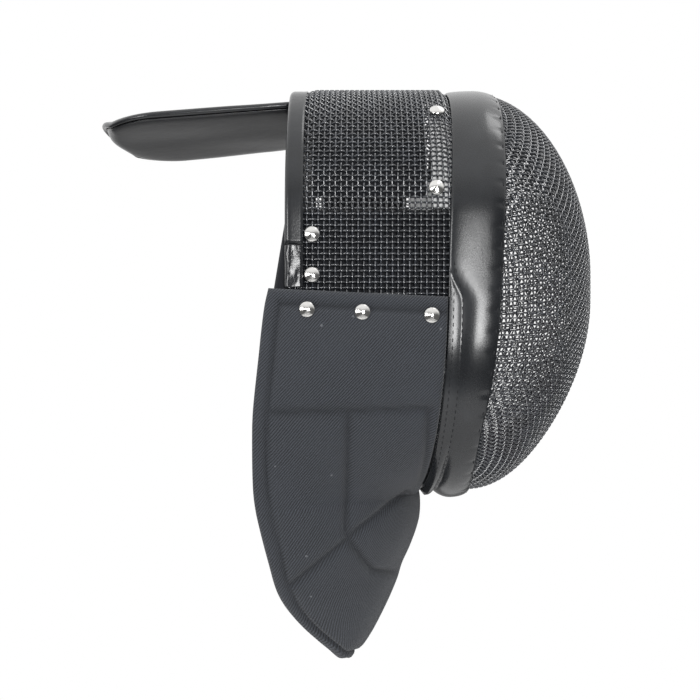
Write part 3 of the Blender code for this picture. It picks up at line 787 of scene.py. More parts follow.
def rim_reach(across, height):
    """Distance from the bowl's axis to the rim in the direction of (across, height)."""
    size = math.hypot(across, height)
    if size < TINY:
        return HALF_WIDTH
    side, rise = across / size, height / size
    for centre, tall, sign in (
            (ARCH_CENTRE_Z, RIM_TOP_Z - ARCH_CENTRE_Z, 1),
            (RIM_LOWER_CENTRE_Z, RIM_LOWER_CENTRE_Z - RIM_BOTTOM_Z, -1)):
        offset = centre - BOWL_AXIS_Z
        square = (side / HALF_WIDTH) ** 2 + (rise / tall) ** 2
        half = rise * offset / tall ** 2
        rest = (offset / tall) ** 2 - 1
        reach = (half + math.sqrt(max(half ** 2 - square * rest, 0.0))) / square
        if (reach * rise - offset) * sign >= 0:
            return reach
    return HALF_WIDTH / abs(side)


def bowl_miss(point):
    """0 on the bowl and its collar, more outside."""
    x, y, z = point
    height = z - BOWL_AXIS_Z
    out = math.hypot(y, height) / rim_reach(y, height)
    forward = max((x - SEAT_TO_BOWL) / BOWL_DEPTH, 0.0)
    angle = math.atan2(forward, out)
    swell = 1 + bowl_fullness(y, height) * math.sin(2 * angle) ** 2
    return math.hypot(forward, out) / swell - 1


def bowl_slope(point):
    """Gradient of bowl_miss, by small steps."""
    slope = []
    for axis in range(3):
        high = list(point)
        low = list(point)
        high[axis] += SLOPE_STEP
        low[axis] -= SLOPE_STEP
        slope.append((bowl_miss(high) - bowl_miss(low)) / (2 * SLOPE_STEP))
    return slope


def net_point(guess, centres, pitch, plane=None):
    """Point of the bowl a pitch from each centre, or in the plane of one axis, by Newton steps."""
    point = np.array(guess, dtype=float)
    for _ in range(NET_ROUNDS):
        rows = [bowl_slope(point)]
        miss = [bowl_miss(point)]
        for centre in centres:
            arm = point - np.array(centre)
            size = max(float(np.linalg.norm(arm)), TINY)
            rows.append(arm / size)
            miss.append(size - pitch)
        if plane is not None:
            axis, value = plane
            rows.append([1.0 if index == axis else 0.0 for index in range(3)])
            miss.append(point[axis] - value)
        step, *_ = np.linalg.lstsq(np.array(rows), np.array(miss), rcond=None)
        size = float(np.linalg.norm(step))
        if size > pitch / 2:
            step *= pitch / 2 / size
        point = point - step
        if size < NET_MISS:
            break
    return Vector(point)


def bowl_net(pitch, rise):
    """Crossings of a flat woven sheet drawn over the left half of the bowl, up or down."""
    nose = Vector((SEAT_TO_BOWL + BOWL_DEPTH, 0, BOWL_AXIS_Z))
    limit = TRIM_CHIN_REAR
    net = {(0, 0): nose}
    for axis, step, plane in (
            (0, Vector((0, pitch, 0)), (2, BOWL_AXIS_Z)),
            (1, Vector((0, 0, rise * pitch)), (1, 0.0))):
        index = 0
        before = nose - step
        while True:
            here = net[(index, 0) if axis == 0 else (0, index)]
            if here.x < limit:
                break
            guess = here + (here - before)
            index += 1
            net[(index, 0) if axis == 0 else (0, index)] = net_point(guess, [here], pitch, plane)
            before = here
    columns = max(key[0] for key in net)
    rows = max(key[1] for key in net)
    for column in range(1, columns + 1):
        for row in range(1, rows + 1):
            corner = net.get((column - 1, row - 1))
            left = net.get((column - 1, row))
            below = net.get((column, row - 1))
            if not (corner and left and below) or min(left.x, below.x) < limit:
                continue
            made = net_point(left + below - corner, [left, below], pitch)
            if (made - corner).length > pitch * 0.5:
                net[(column, row)] = made
    return net


def crimped(path, normals, signs):
    """Wire path with two points at each crossing, and how each point is lifted."""
    points = []
    lifts = []
    for index, (point, normal, sign) in enumerate(zip(path, normals, signs)):
        for neighbour in (index - 1, index + 1):
            if 0 <= neighbour < len(path):
                points.append(point.lerp(path[neighbour], CRIMP_SHARE))
            else:
                points.append(point.lerp(path[2 * index - neighbour], -CRIMP_SHARE))
            lifts.append(normal * sign)
    return points, lifts


def stitched(paths, pitch):
    """Points a pitch apart on paths of points and normals, with normals and directions."""
    spots = []
    for points, normals in paths:
        lengths = run_lengths(points)
        count = max(int(lengths[-1] / pitch), 1)
        for number in range(count):
            index, share = locate(lengths, lengths[-1] * (number + 0.5) / count)
            before, after = points[index], points[index + 1]
            spots.append((before.lerp(after, share), normals[index], (after - before).normalized()))
    return spots


def store_vectors(mesh, label, vectors):
    """Keep one vector on each point of a mesh under a name."""
    stored = mesh.attributes.new(label, "FLOAT_VECTOR", "POINT")
    stored.data.foreach_set("vector", [part for vector in vectors for part in vector])


def sew(name, slot, paths, pitch, length, thread, material):
    """A row of raised stitches along each path, as one piece."""
    spots = stitched(paths, pitch)
    mesh = bpy.data.meshes.new(name)
    mesh.from_pydata([tuple(spot) for spot, _, _ in spots], [], [])
    for label, column in (("lift", 1), ("along", 2)):
        store_vectors(mesh, label, [spot[column] for spot in spots])
    made = stitch_tree().run(name, mesh, material, Length=length, Thread=thread)
    return dressed(made, slot)


def stitch_tree():
    """A stitch at each point, lying along its row and facing out of the cloth."""
    tree = Tree("sewn_stitches", {"Length": "NodeSocketFloat", "Thread": "NodeSocketFloat"})
    source = tree.source.outputs
    size = tree.node("ShaderNodeCombineXYZ", sockets={
        0: source["Length"], 1: source["Thread"], 2: source["Thread"]})
    form = tree.node("GeometryNodeMeshUVSphere", sockets={
        "Segments": 6, "Rings": 4, "Radius": 0.5})
    smooth = tree.node("GeometryNodeSetShadeSmooth", sockets={"Geometry": form.outputs["Mesh"]})
    turn = None
    for label, axis in (("along", "X"), ("lift", "Z")):
        settings = {"axis": axis, "pivot_axis": "X" if turn else "AUTO"}
        sockets = {"Vector": tree.stored(label)}
        if turn:
            sockets["Rotation"] = turn.outputs[0]
        turn = tree.node("FunctionNodeAlignRotationToVector", settings, sockets)
    placed = tree.node("GeometryNodeInstanceOnPoints", sockets={
        "Points": source["Geometry"], "Instance": smooth.outputs[0],
        "Rotation": turn.outputs[0], "Scale": size.outputs[0]})
    tree.finish(placed.outputs[0])
    return tree


def path_mesh(name, paths):
    """Edge chains with a lift vector stored on each point."""
    verts = []
    edges = []
    lifts = []
    for points, lift in paths:
        start = len(verts)
        verts.extend(points)
        lifts.extend(lift)
        edges.extend((start + index, start + index + 1) for index in range(len(points) - 1))
    mesh = bpy.data.meshes.new(name)
    mesh.from_pydata([tuple(point) for point in verts], edges, [])
    store_vectors(mesh, "lift", lifts)
    return mesh


class Tree:
    """One geometry node tree, from named inputs to realised geometry with a material."""

    def __init__(self, name, inputs):
        self.tree = bpy.data.node_groups.new(name, "GeometryNodeTree")
        self.tree.is_modifier = True
        face = self.tree.interface
        face.new_socket("Geometry", in_out="INPUT", socket_type="NodeSocketGeometry")
        self.keys = {}
        for label, kind in inputs.items():
            made = face.new_socket(label, in_out="INPUT", socket_type=kind)
            self.keys[label] = made.identifier
        material = face.new_socket("Material", in_out="INPUT", socket_type="NodeSocketMaterial")
        self.keys["Material"] = material.identifier
        face.new_socket("Geometry", in_out="OUTPUT", socket_type="NodeSocketGeometry")
        self.source = self.tree.nodes.new("NodeGroupInput")

    def node(self, kind, settings=None, sockets=None):
        return add_node(self.tree, kind, settings, sockets)

    def stored(self, name):
        """Output with the vectors kept on the mesh under this name."""
        made = self.node(
            "GeometryNodeInputNamedAttribute", {"data_type": "FLOAT_VECTOR"}, {"Name": name})
        return made.outputs[0]

    def finish(self, geometry):
        real = self.node("GeometryNodeRealizeInstances", sockets={0: geometry})
        dressed = self.node("GeometryNodeSetMaterial", sockets={
            "Geometry": real.outputs[0], "Material": self.source.outputs["Material"]})
        result = self.tree.nodes.new("NodeGroupOutput")
        self.tree.links.new(dressed.outputs[0], result.inputs[0])

    def run(self, name, mesh, material, **values):
        """Plain mesh object made by the tree from a source mesh."""
        source = link(name + "_source", mesh)
        modifier = source.modifiers.new("tree", "NODES")
        modifier.node_group = self.tree
        for label, value in values.items():
            modifier[self.keys[label.replace("_", " ")]] = value
        modifier[self.keys["Material"]] = material
        source.update_tag()
        seen = source.evaluated_get(bpy.context.evaluated_depsgraph_get())
        result = bpy.data.meshes.new_from_object(seen)
        source.modifiers.clear()
        bpy.data.objects.remove(source)
        if not result.polygons:
            raise RuntimeError(name + " came out empty")
        result.name = name
        outwards(result)
        return link(name, result)


def outwards(mesh):
    """Turn a closed mesh's faces outwards where its volume is negative."""
    drawn = bmesh.new()
    drawn.from_mesh(mesh)
    if drawn.calc_volume(signed=True) < 0:
        bmesh.ops.reverse_faces(drawn, faces=drawn.faces)
        drawn.to_mesh(mesh)
    drawn.free()


def link(name, mesh):
    made = bpy.data.objects.new(name, mesh)
    bpy.context.scene.collection.objects.link(made)
    return made


def wire_tree():
    """Round wire along each edge chain, lifted over and under its neighbours."""
    tree = Tree("woven_wire", {
        "Diameter": "NodeSocketFloat", "Crimp": "NodeSocketFloat", "Sides": "NodeSocketInt"})
    source = tree.source.outputs
    radius = tree.node("ShaderNodeMath", {"operation": "MULTIPLY"}, {
        0: source["Diameter"], 1: 0.5})
    offset = tree.node("ShaderNodeVectorMath", {"operation": "SCALE"}, {
        0: tree.stored("lift"), "Scale": source["Crimp"]})
    moved = tree.node("GeometryNodeSetPosition", sockets={
        "Geometry": source["Geometry"], "Offset": offset.outputs[0]})
    curve = tree.node("GeometryNodeMeshToCurve", sockets={"Mesh": moved.outputs[0]})
    circle = tree.node("GeometryNodeCurvePrimitiveCircle", sockets={
        "Resolution": source["Sides"], "Radius": radius.outputs[0]})
    tube = tree.node("GeometryNodeCurveToMesh", sockets={
        "Curve": curve.outputs[0], "Profile Curve": circle.outputs[0], "Fill Caps": True})
    smooth = tree.node("GeometryNodeSetShadeSmooth", sockets={"Geometry": tube.outputs[0]})
    tree.finish(smooth.outputs[0])
    return tree


def dressed(made, slot, *nodes):
    """Ride on the frame and stand for the named solids, which it hides; the slot is not used."""
    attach(made, ROOT)
    if nodes:
        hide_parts(*nodes)
    return made


def sheet_mesh(name, rows, around=False, ring=False, caps=False):
    """Quads over rows of points with a UV map in metres; around closes each row, ring the rows."""
    drawn = bmesh.new()
    layer = drawn.loops.layers.uv.new("cloth")
    verts = [[drawn.verts.new(point) for point in row] for row in rows]
    count = len(rows[0])
    total = len(rows)
    across = [run_lengths(row + [row[0]] if around else row) for row in rows]
    down = [[0.0] * (count + 1)]
    for index in range(1, total + 1):
        before = rows[index - 1]
        after = rows[index % total]
        reach = [(after[k % count] - before[k % count]).length for k in range(count + 1)]
        down.append([down[-1][k] + reach[k] for k in range(count + 1)])
    for row in range(total if ring else total - 1):
        upper = (row + 1) % total
        for column in range(count if around else count - 1):
            after = (column + 1) % count
            corners = (
                (row, column, verts[row][column]),
                (row + 1, column, verts[upper][column]),
                (row + 1, column + 1, verts[upper][after]),
                (row, column + 1, verts[row][after]))
            face = drawn.faces.new([vert for _, _, vert in corners])
            for loop, (down_index, across_index, _) in zip(face.loops, corners):
                loop[layer].uv = (
                    across[down_index % total][across_index], down[down_index][across_index])
    if caps:
        for ends in (verts[0], verts[-1]):
            drawn.faces.new(ends)
    mesh = bpy.data.meshes.new(name)
    if around:
        bmesh.ops.recalc_face_normals(drawn, faces=drawn.faces)
    drawn.to_mesh(mesh)
    drawn.free()
    mesh.shade_smooth()
    return mesh


def walled(mesh, wall_at):
    """Give an open sheet two skins; wall_at(vertex, on_edge) says how far each lies out."""
    sheet = bmesh.new()
    sheet.from_mesh(mesh)
    sheet.verts.ensure_lookup_table()
    sheet.normal_update()
    layer = sheet.loops.layers.uv["cloth"]
    drawn = bmesh.new()
    new_layer = drawn.loops.layers.uv.new("cloth")
    outer = []
    inner = []
    for vert in sheet.verts:
        out, back = wall_at(vert, vert.is_boundary)
        outer.append(drawn.verts.new(vert.co + vert.normal * out))
        inner.append(drawn.verts.new(vert.co + vert.normal * back))
    for face in sheet.faces:
        indices = [loop.vert.index for loop in face.loops]
        maps = [loop[layer].uv.copy() for loop in face.loops]
        for verts, order in ((outer, 1), (inner, -1)):
            made = drawn.faces.new([verts[index] for index in indices[::order]])
            for loop, uv in zip(made.loops, maps[::order]):
                loop[new_layer].uv = uv
    for edge in sheet.edges:
        if edge.is_boundary:
            face_loop = edge.link_loops[0]
            first = face_loop.vert.index
            second = face_loop.link_loop_next.vert.index
            made = drawn.faces.new((outer[second], outer[first], inner[first], inner[second]))
            uvs = (face_loop.link_loop_next[layer].uv, face_loop[layer].uv)
            for loop, uv in zip(made.loops, (uvs[0], uvs[1], uvs[1], uvs[0])):
                loop[new_layer].uv = uv
    sheet.free()
    drawn.to_mesh(mesh)
    drawn.free()
    mesh.shade_smooth()
    return mesh


def wire_paths(crossings, axis):
    """Crimped wires through neighbouring crossings that share one key, over and under in turn."""
    lines = {}
    for key in crossings:
        lines.setdefault(key[axis], []).append(key)
    sign = 1 - 2 * axis
    paths = []
    for keys in lines.values():
        keys.sort(key=lambda key: key[1 - axis])
        run = [keys[0]]
        for key in keys[1:] + [None]:
            if key is not None and key[1 - axis] == run[-1][1 - axis] + 1:
                run.append(key)
                continue
            if len(run) > 2:
                paths.append(crimped(
                    [crossings[item][0] for item in run], [crossings[item][1] for item in run],
                    [sign * (-1) ** (item[0] + item[1]) for item in run]))
            run = [key]
    return paths


def weave(sizes, colours, crossings, names, node):
    """Crimped wires both ways through a net of crossings, one piece each way."""
    material = wire_finish(colours)
    tree = wire_tree()
    for axis, name in enumerate(names):
        made = tree.run(
            name, path_mesh(name, wire_paths(crossings, axis)), material,
            Diameter=sizes.wire_diameter, Crimp=sizes.wire_diameter / 2, Sides=sizes.wire_sides)
        dressed(made, "black_wire", *([] if axis else [node]))


def weave_side_mesh(sizes, colours):
    """Wires of the arch, along it and round it, up to the front trim."""
    pitch = sizes.mesh_pitch
    stations = even_stations(MESH_BOTTOM_Z, pitch)
    limits = [rim_edge_x(station_height(station)) - 2 * RIM_EDGE_GAP for station in stations]
    columns = int((max(limits) - MESH_REAR_X) / pitch)
    crossings = {}
    for row, (station, limit) in enumerate(zip(stations, limits)):
        for column in range(columns):
            x = MESH_REAR_X + pitch * (column + FIRST_WIRE)
            if x < limit:
                crossings[(row, column)] = arch_point(x, station, -MESH_WALL / 2)
    weave(sizes, colours, crossings, ("side_wires_long", "side_wires_round"), "side_mesh")


def weave_face_mesh(sizes, colours):
    """Wires of the face, upright and level, in front of the middle of the trim."""
    net = {}
    for rise in (1, -1):
        for (column, row), point in bowl_net(sizes.mesh_pitch, rise).items():
            for side in (1, -1):
                net[(side * column, rise * row)] = Vector((point.x, side * point.y, point.z))
    crossings = {}
    for key, point in net.items():
        if point.x >= rim_edge_x(point.z):
            slope = Vector(bowl_slope(point)).normalized()
            crossings[key] = (point + slope * FACE_WIRE_LIFT, slope)
    weave(sizes, colours, crossings, ("face_wires_upright", "face_wires_level"), "face_mesh")


def soft_noise(point, size, amount):
    """Smooth unevenness of a soft surface, in metres."""
    return noise.noise(point / size) * amount


def trim_seam(height):
    """Distance of the dart's seam from the band's rear edge, and how far it is open."""
    opened = smooth_step((TRIM_DART_Z - height) / TRIM_DART_RUN)
    return between(TRIM_HEM, TRIM_FLANGE, opened), opened


def trim_seat(point, x):
    """Point under the band at a place along the curve through a point of the rim."""
    bowl = bowl_point(point, math.asin(clamp((x - SEAT_TO_BOWL) / BOWL_DEPTH)))
    return Vector((x, bowl.y, bowl.z))


def trim_spot(point, normal, share, travel):
    """Point on the band's outer face at a share of its width from the rear edge."""
    width = trim_width(point.z)
    crest = TRIM_PUFF * read_rows(TRIM_ROWS, rim_share(point.z), 3)
    seam, opened = trim_seam(point.z)
    seam_share = seam * opened / width
    over = max((share - seam_share) / (1 - seam_share), 0.0)
    puff = max(1 - (2 * over - 1) ** 2, 0.0) ** (0.5 + 0.5 * opened * (over < 0.5))
    flange = 0.0
    if share < seam_share:
        chin = smooth_step((TRIM_CHIN_Z - point.z) / TRIM_CHIN_RUN)
        flange = math.sin(math.pi * share / seam_share) * (
            TRIM_FLANGE_PUFF + TRIM_CHIN_PUFF * chin)
    lace = math.cos(math.pi * travel / TRIM_LACE_PITCH) ** TRIM_LACE_POWER
    pucker = lace * math.exp(-((1 - share) * width / TRIM_PUCKER_REACH) ** 2) * TRIM_PUCKER
    out = GAP + between(TRIM_EDGE, crest, puff) + flange - pucker * puff
    spot = trim_seat(point, trim_rear_x(point.z) + width * share) + normal * out
    return spot + normal * soft_noise(spot, 30 * MM, 0.3 * MM) * puff


def cover_front_trim(sizes, colours):
    """Puffed band round the rim, with a dart along its lower rear edge and its stitches."""
    rows = []
    seams = ([], [])
    laces = []
    travel = 0.0
    outline = rim_outline(TRIM_PITCH)
    before = outline[0][0]
    for point, normal in outline:
        travel += (point - before).length
        before = point
        width = trim_width(point.z)
        rear = trim_rear_x(point.z)
        back = [
            trim_seat(point, rear + width * (1 - index / TRIM_BACK_STEPS)) + normal * GAP
            for index in range(TRIM_BACK_STEPS + 1)]
        rows.append(back + [
            trim_spot(point, normal, index / TRIM_STEPS, travel)
            for index in range(TRIM_STEPS + 1)])
        if point.z < TRIM_DART_Z:
            raised = normal * sizes.thread_diameter * 0.3
            for seam, inset in zip(seams, (TRIM_HEM, trim_seam(point.z)[0])):
                seam.append((trim_spot(point, normal, inset / width, travel) + raised, normal))
        if abs(math.cos(math.pi * travel / TRIM_LACE_PITCH)) > TRIM_LACE_SHARE:
            spot = trim_spot(point, normal, 1 - TRIM_LACE_INSET / width, travel)
            if not laces or (laces[-1][0][-1] - spot).length >= TRIM_LACE_PITCH / 2:
                laces.append(([], []))
            laces[-1][0].append(spot)
            laces[-1][1].append(normal)
    mesh = sheet_mesh("front_band", rows, around=True, ring=True)
    mesh.materials.append(vinyl_finish("trim_vinyl", colours.vinyl, 0.18, 0.12 * MM, 0.015 * MM))
    dressed(link("front_band", mesh), "black_vinyl", "front_trim")
    thread = thread_finish("trim_thread", colours.gloss)
    sew("trim_stitches", "black_vinyl", [tuple(zip(*seam)) for seam in seams],
        sizes.stitch_length * 1.6, sizes.stitch_length, sizes.thread_diameter * 1.3, thread)
    sew("trim_laces", "black_vinyl", [lace for lace in laces if len(lace[0]) > 1],
        TRIM_LACE_PITCH, sizes.stitch_length * 1.3, sizes.thread_diameter * 2, thread)


def channel_profile(wall):
    """X place and distance out of points round the rear edge, from its outer leg to its inner."""
    inner = -MESH_WALL - GAP
    middle = (GAP + inner) / 2
    radius = (GAP - inner) / 2
    front = -SEAT_TO_REAR + BINDING_WALL + BINDING_LEG
    bend = -SEAT_TO_REAR + BINDING_WALL + radius
    profile = []
    for index in range(CHANNEL_STEPS + 1):
        turn = math.pi * clamp((index - CHANNEL_LEG) / (CHANNEL_STEPS - 2 * CHANNEL_LEG))
        leg = max(CHANNEL_LEG - index, index - CHANNEL_STEPS + CHANNEL_LEG, 0) / CHANNEL_LEG
        profile.append((
            between(bend, front, leg) - (radius + wall) * math.sin(turn),
            middle + (radius + wall) * math.cos(turn)))
    return profile


def channel_rows(stations, puff, crumple):
    """Rounded U sections round the rear edge of the side mesh."""
    inside = channel_profile(0.0)[::-1]
    half = CHANNEL_STEPS // 2
    rows = []
    for station in stations:
        section = []
        for index, (x, out) in enumerate(channel_profile(BINDING_WALL)):
            spot, normal = arch_point(x, station, out)
            from_end = min(index, CHANNEL_STEPS - index)
            swell = puff * math.sin(math.pi * from_end / half)
            crease = soft_noise(spot * Vector((1, 1, 0.45)), CREASE_SIZE, crumple) * (from_end > 0)
            sign = 1 if index <= half else -1
            section.append(spot + normal * (sign * (swell + crease)))
        rows.append(section + [arch_point(x, station, out)[0] for x, out in inside])
    return rows


def bind_rear_edge(colours):
    """Binding round the rear edge of the arch, and the crumpled wraps below its two ends."""
    vinyl = vinyl_finish("binding_vinyl", colours.vinyl, 0.2, 0.2 * MM)
    stations = even_stations(-WRAP_TOP_DROP + EDGE_GAP, BINDING_PITCH)
    pieces = [("rear_binding", "black_vinyl", "rear_trim", stations, 0.1 * MM, 0.05 * MM, vinyl)]
    gloss = vinyl_finish("wrap_vinyl", colours.gloss, 0.13, 0.9 * MM)
    for side_name, side in SIDES:
        stations = side_stations(-WRAP_TOP_DROP, -WRAP_BOTTOM_DROP, side, WRAP_PITCH)
        pieces.append(("rear_wrap_" + side_name, "gloss_vinyl", "edge_wrap_" + side_name,
                       stations, 0.7 * MM, 0.9 * MM, gloss))
    for name, slot, node, stations, puff, crumple, material in pieces:
        mesh = sheet_mesh(name, channel_rows(stations, puff, crumple), around=True, caps=True)
        mesh.materials.append(material)
        dressed(link(name, mesh), slot, node)


def pad_head(colours):
    """Crown pad, crowned between its edges and sewn into channels."""
    outer = -(MESH_WALL + GAP)
    stations = even_stations(-HEAD_PAD_DROP, CROWN_PITCH)
    last = len(stations) - 1
    shares = [index / CROWN_STEPS for index in range(CROWN_STEPS + 1)]
    rows = []
    for number, station in enumerate(stations):
        channel = abs(math.sin(math.pi * CROWN_CHANNELS * number / last))
        end = min(1.0, 0.45 + 0.55 * min(number, last - number) / 2.5)
        body = HEAD_PAD_WALL * (0.55 + 0.45 * channel ** 0.5) * end - CROWN_EDGE
        upper = [(share, outer - CROWN_EDGE_SINK * (2 * share - 1) ** 8) for share in shares]
        lower = [(share, outer - CROWN_EDGE - body * (1 - (2 * share - 1) ** 6) ** 0.5)
                 for share in shares[-2:0:-1]]
        rows.append([
            arch_point(between(CROWN_PAD_REAR, HEAD_PAD_FRONT, share), station, out)[0]
            for share, out in upper + lower])
    mesh = sheet_mesh("crown_pad", rows, around=True, caps=True)
    mesh.materials.append(lining_finish(colours))
    made = dressed(link("crown_pad", mesh), "dark_lining", "head_pad")


def side_sheet(name, side, stations, columns, outset, ends_at):
    """Sheet inside one side of the mesh, facing out; ends_at(height) gives a row's two ends."""
    rows = []
    for station in stations:
        rear, front = ends_at(station_height(station))
        rows.append([
            arch_point(between(rear, front, column / columns), station, outset)[0]
            for column in range(columns + 1)])
    mesh = sheet_mesh(name, rows)
    lean = sum(polygon.normal.y * polygon.area for polygon in mesh.polygons)
    if lean * side < 0:
        mesh.flip_normals()
    return mesh


def lining_ends(height):
    share = (-LINING_TOP_DROP - height) / LINING_HEIGHT
    return -LINING_TOP_REAR - LINING_FLARE * share, LINING_FRONT


def lining_wall(vert, edge):
    if edge:
        return -LINING_WALL * 0.3, -LINING_WALL * 0.7
    x, z = vert.co.x, vert.co.z
    quilt = abs(math.sin(math.pi * (x + z) / LINING_QUILT)) * abs(
        math.sin(math.pi * (x - z) / LINING_QUILT))
    return 0.0, -LINING_WALL * (0.72 + 0.28 * min(quilt * 3, 1.0))


def webbing_ends(height):
    return STRIP_REAR, STRIP_FRONT


def webbing_wall(vert, edge):
    if edge:
        return -STRIP_WALL * 0.3, -STRIP_WALL * 0.7
    rib = 0.12 * STRIP_WALL * math.sin(math.pi * vert.co.z / WEBBING_RIB)
    return rib - 0.12 * STRIP_WALL, -STRIP_WALL


def hang_linings(colours):
    """Quilted side linings inside the mesh, and the webbing behind the rim rivets."""
    lining = lining_finish(colours)
    webbing = webbing_finish(colours)
    top = -LINING_TOP_DROP
    for side_name, side in SIDES:
        name = "side_pad_" + side_name
        stations = side_stations(top, top - LINING_HEIGHT, side, LINING_PITCH)
        mesh = side_sheet(name, side, stations, LINING_COLUMNS, LINING_OUTSET, lining_ends)
        walled(mesh, lining_wall)
        mesh.materials.append(lining)
        made = dressed(link(name, mesh), "dark_lining", "side_lining_" + side_name)

        name = "rim_webbing_" + side_name
        stations = side_stations(-STRIP_TOP_DROP, -STRIP_BOTTOM_DROP, side, WEBBING_RIB)
        mesh = side_sheet(
            name, side, stations, WEBBING_COLUMNS, -(MESH_WALL + STRIP_GAP), webbing_ends)
        walled(mesh, webbing_wall)
        mesh.materials.append(webbing)
        made = dressed(link(name, mesh), "white_strip", "rim_strip_" + side_name)


def bib_rear_point(share):
    return Vector((
        -BIB_BACK * read_rows(BIB_REAR_ROWS, share, 1),
        (HALF_WIDTH + BIB_INSET) * read_rows(BIB_REAR_ROWS, share, 2),
        -BIB_TOP_DROP - BIB_LENGTH * share))


def bib_ends(place):
    """Front point, rear point and wrap of the bib at a place, 0 the top, 1 the chin, 2 the tip."""
    lower = RIM_LOWER_CENTRE_Z - RIM_BOTTOM_Z
    top_z = -BIB_TOP_DROP - BIB_TOP_SLOPE
    first = math.asin(clamp((RIM_LOWER_CENTRE_Z - top_z) / lower, -1.0))
    share = min(place, 1.0)
    angle = between(first, math.pi / 2, share)
    y = (HALF_WIDTH + BIB_INSET) * math.cos(max(angle, 0.0))
    z = RIM_LOWER_CENTRE_Z - lower * math.sin(angle)
    x = trim_rear_x(z) - EDGE_GAP - (BIB_WALL + 2 * EDGE_GAP) * share ** BIB_EDGE_POWER
    level = (math.sin(angle) - math.sin(first)) / (1 - math.sin(first))
    if place < 1:
        rear = bib_rear_point(BIB_BREAK * (level + share) / 2)
        return Vector((x, y, z)), rear, share ** BIB_WRAP_POWER
    chin = Vector((x, 0.0, z))
    share = place - 1
    front = Vector((
        chin.x - BIB_CHIN_SWEEP * read_rows(BIB_CENTRE_ROWS, share, 1),
        0.0,
        between(chin.z, BIB_TIP_Z, share)))
    return front, bib_rear_point(between(BIB_BREAK, BIB_REAR_ROWS[-1][0], share)), 1.0


def bib_point(place, share):
    """Point of the bib's inner face, share 0 at its front edge and 1 at its rear edge."""
    front, rear, wrap = bib_ends(place)
    turn = share * math.pi / 2
    return Vector((
        between(front.x, rear.x, between(share, 1 - math.cos(turn), wrap)),
        between(front.y, rear.y, between(share, math.sin(turn), wrap)),
        between(front.z, rear.z, share)))


def seam_distance(x, z):
    """Distance in the side view to the nearest quilting seam."""
    spot = Vector((x, z))
    nearest = 1.0
    for seam in BIB_SEAMS:
        for start, end in zip(seam, seam[1:]):
            low = Vector(start) * MM
            high = Vector(end) * MM
            reach = high - low
            share = clamp((spot - low).dot(reach) / reach.length_squared)
            nearest = min(nearest, (low + reach * share - spot).length)
    return nearest


def bib_sheet(name):
    """Bib of two mirrored halves, as a sheet, and how far each vertex is from its edges."""
    places = [index / BIB_UPPER_ROWS for index in range(BIB_UPPER_ROWS)] + [
        1 + index / BIB_LOWER_ROWS for index in range(BIB_LOWER_ROWS + 1)]
    drawn = bmesh.new()
    layer = drawn.loops.layers.uv.new("cloth")
    halves = {1: [], -1: []}
    for place in places:
        left = [
            drawn.verts.new(bib_point(place, column / BIB_COLUMNS))
            for column in range(BIB_COLUMNS + 1)]
        right = []
        for vert in left:
            if abs(vert.co.y) < 0.01 * MM:
                vert.co.y = 0.0
                right.append(vert)
            else:
                right.append(drawn.verts.new((vert.co.x, -vert.co.y, vert.co.z)))
        halves[1].append(left)
        halves[-1].append(right)
    drawn.verts.index_update()
    edge_gaps = {}
    for side, rows in halves.items():
        lengths = [run_lengths([vert.co for vert in row]) for row in rows]
        marks = [[side * (length - row[-1]) for length in row] for row in lengths]
        depths = [[0.0] * (BIB_COLUMNS + 1)]
        for before, after in zip(rows, rows[1:]):
            depths.append([total + (high.co - low.co).length
                           for total, low, high in zip(depths[-1], before, after)])
        for row in range(len(rows) - 1):
            for column in range(BIB_COLUMNS):
                corners = [(row, column), (row + 1, column), (row + 1, column + 1),
                           (row, column + 1)][::side]
                verts = [rows[r][c] for r, c in corners]
                if len(set(verts)) == 4:
                    face = drawn.faces.new(verts)
                    for loop, (r, c) in zip(face.loops, corners):
                        loop[layer].uv = (marks[r][c], depths[r][c])
        for row, line in enumerate(rows):
            for column, vert in enumerate(line):
                depth = depths[row][column]
                edge_gaps[vert.index] = min(
                    abs(marks[row][column]), depth, depths[-1][column] - depth)
    drawn.normal_update()
    lean = sum(
        face.normal.y * math.copysign(1, face.calc_center_median().y) for face in drawn.faces)
    if lean < 0:
        bmesh.ops.reverse_faces(drawn, faces=drawn.faces)
    mesh = bpy.data.meshes.new(name)
    drawn.to_mesh(mesh)
    drawn.free()
    return mesh, edge_gaps


def quilt_bib(sizes, colours):
    """Padded bib with its seams pressed in, and the stitches along them."""
    mesh, edge_gaps = bib_sheet("quilted_bib")
    painted_groove_shade = []

    def wall(vert, edge):
        gap = edge_gaps[vert.index]
        seam = min(seam_distance(vert.co.x, vert.co.z), abs(gap - BIB_HEM) * 1.5)
        groove = math.exp(-(seam / BIB_GROOVE) ** 2)
        # Each vertex's groove depth, outer skin then inner, is the mask of the painted shade in the
        # grooves.
        painted_groove_shade.extend((groove, 0.0))
        if edge:
            return BIB_WALL * 0.66, BIB_WALL * 0.34
        loft = 1 - math.exp(-seam / BIB_LOFT_REACH)
        edge_round = min(gap / BIB_EDGE_REACH, 1.0)
        out = BIB_WALL * (0.8 + 0.2 * edge_round) + loft * BIB_LOFT - groove * sizes.quilt_depth
        return out + soft_noise(vert.co, 34 * MM, 0.5 * MM), BIB_INNER_LIFT

    walled(mesh, wall)
    # The groove depths are kept on the mesh as the mask of the twill's painted shade.
    mesh.attributes.new("seam", "FLOAT", "POINT").data.foreach_set("value", painted_groove_shade)
    mesh.materials.append(twill_finish(colours, sizes.twill_pitch))
    made = dressed(link("quilted_bib", mesh), "charcoal_twill", "bib")
    thread = thread_finish("bib_thread", colours.twill)
    sew("bib_stitches", "charcoal_twill", bib_seam_paths(mesh), sizes.stitch_length * 1.2,
        sizes.stitch_length * 0.8, sizes.thread_diameter, thread)


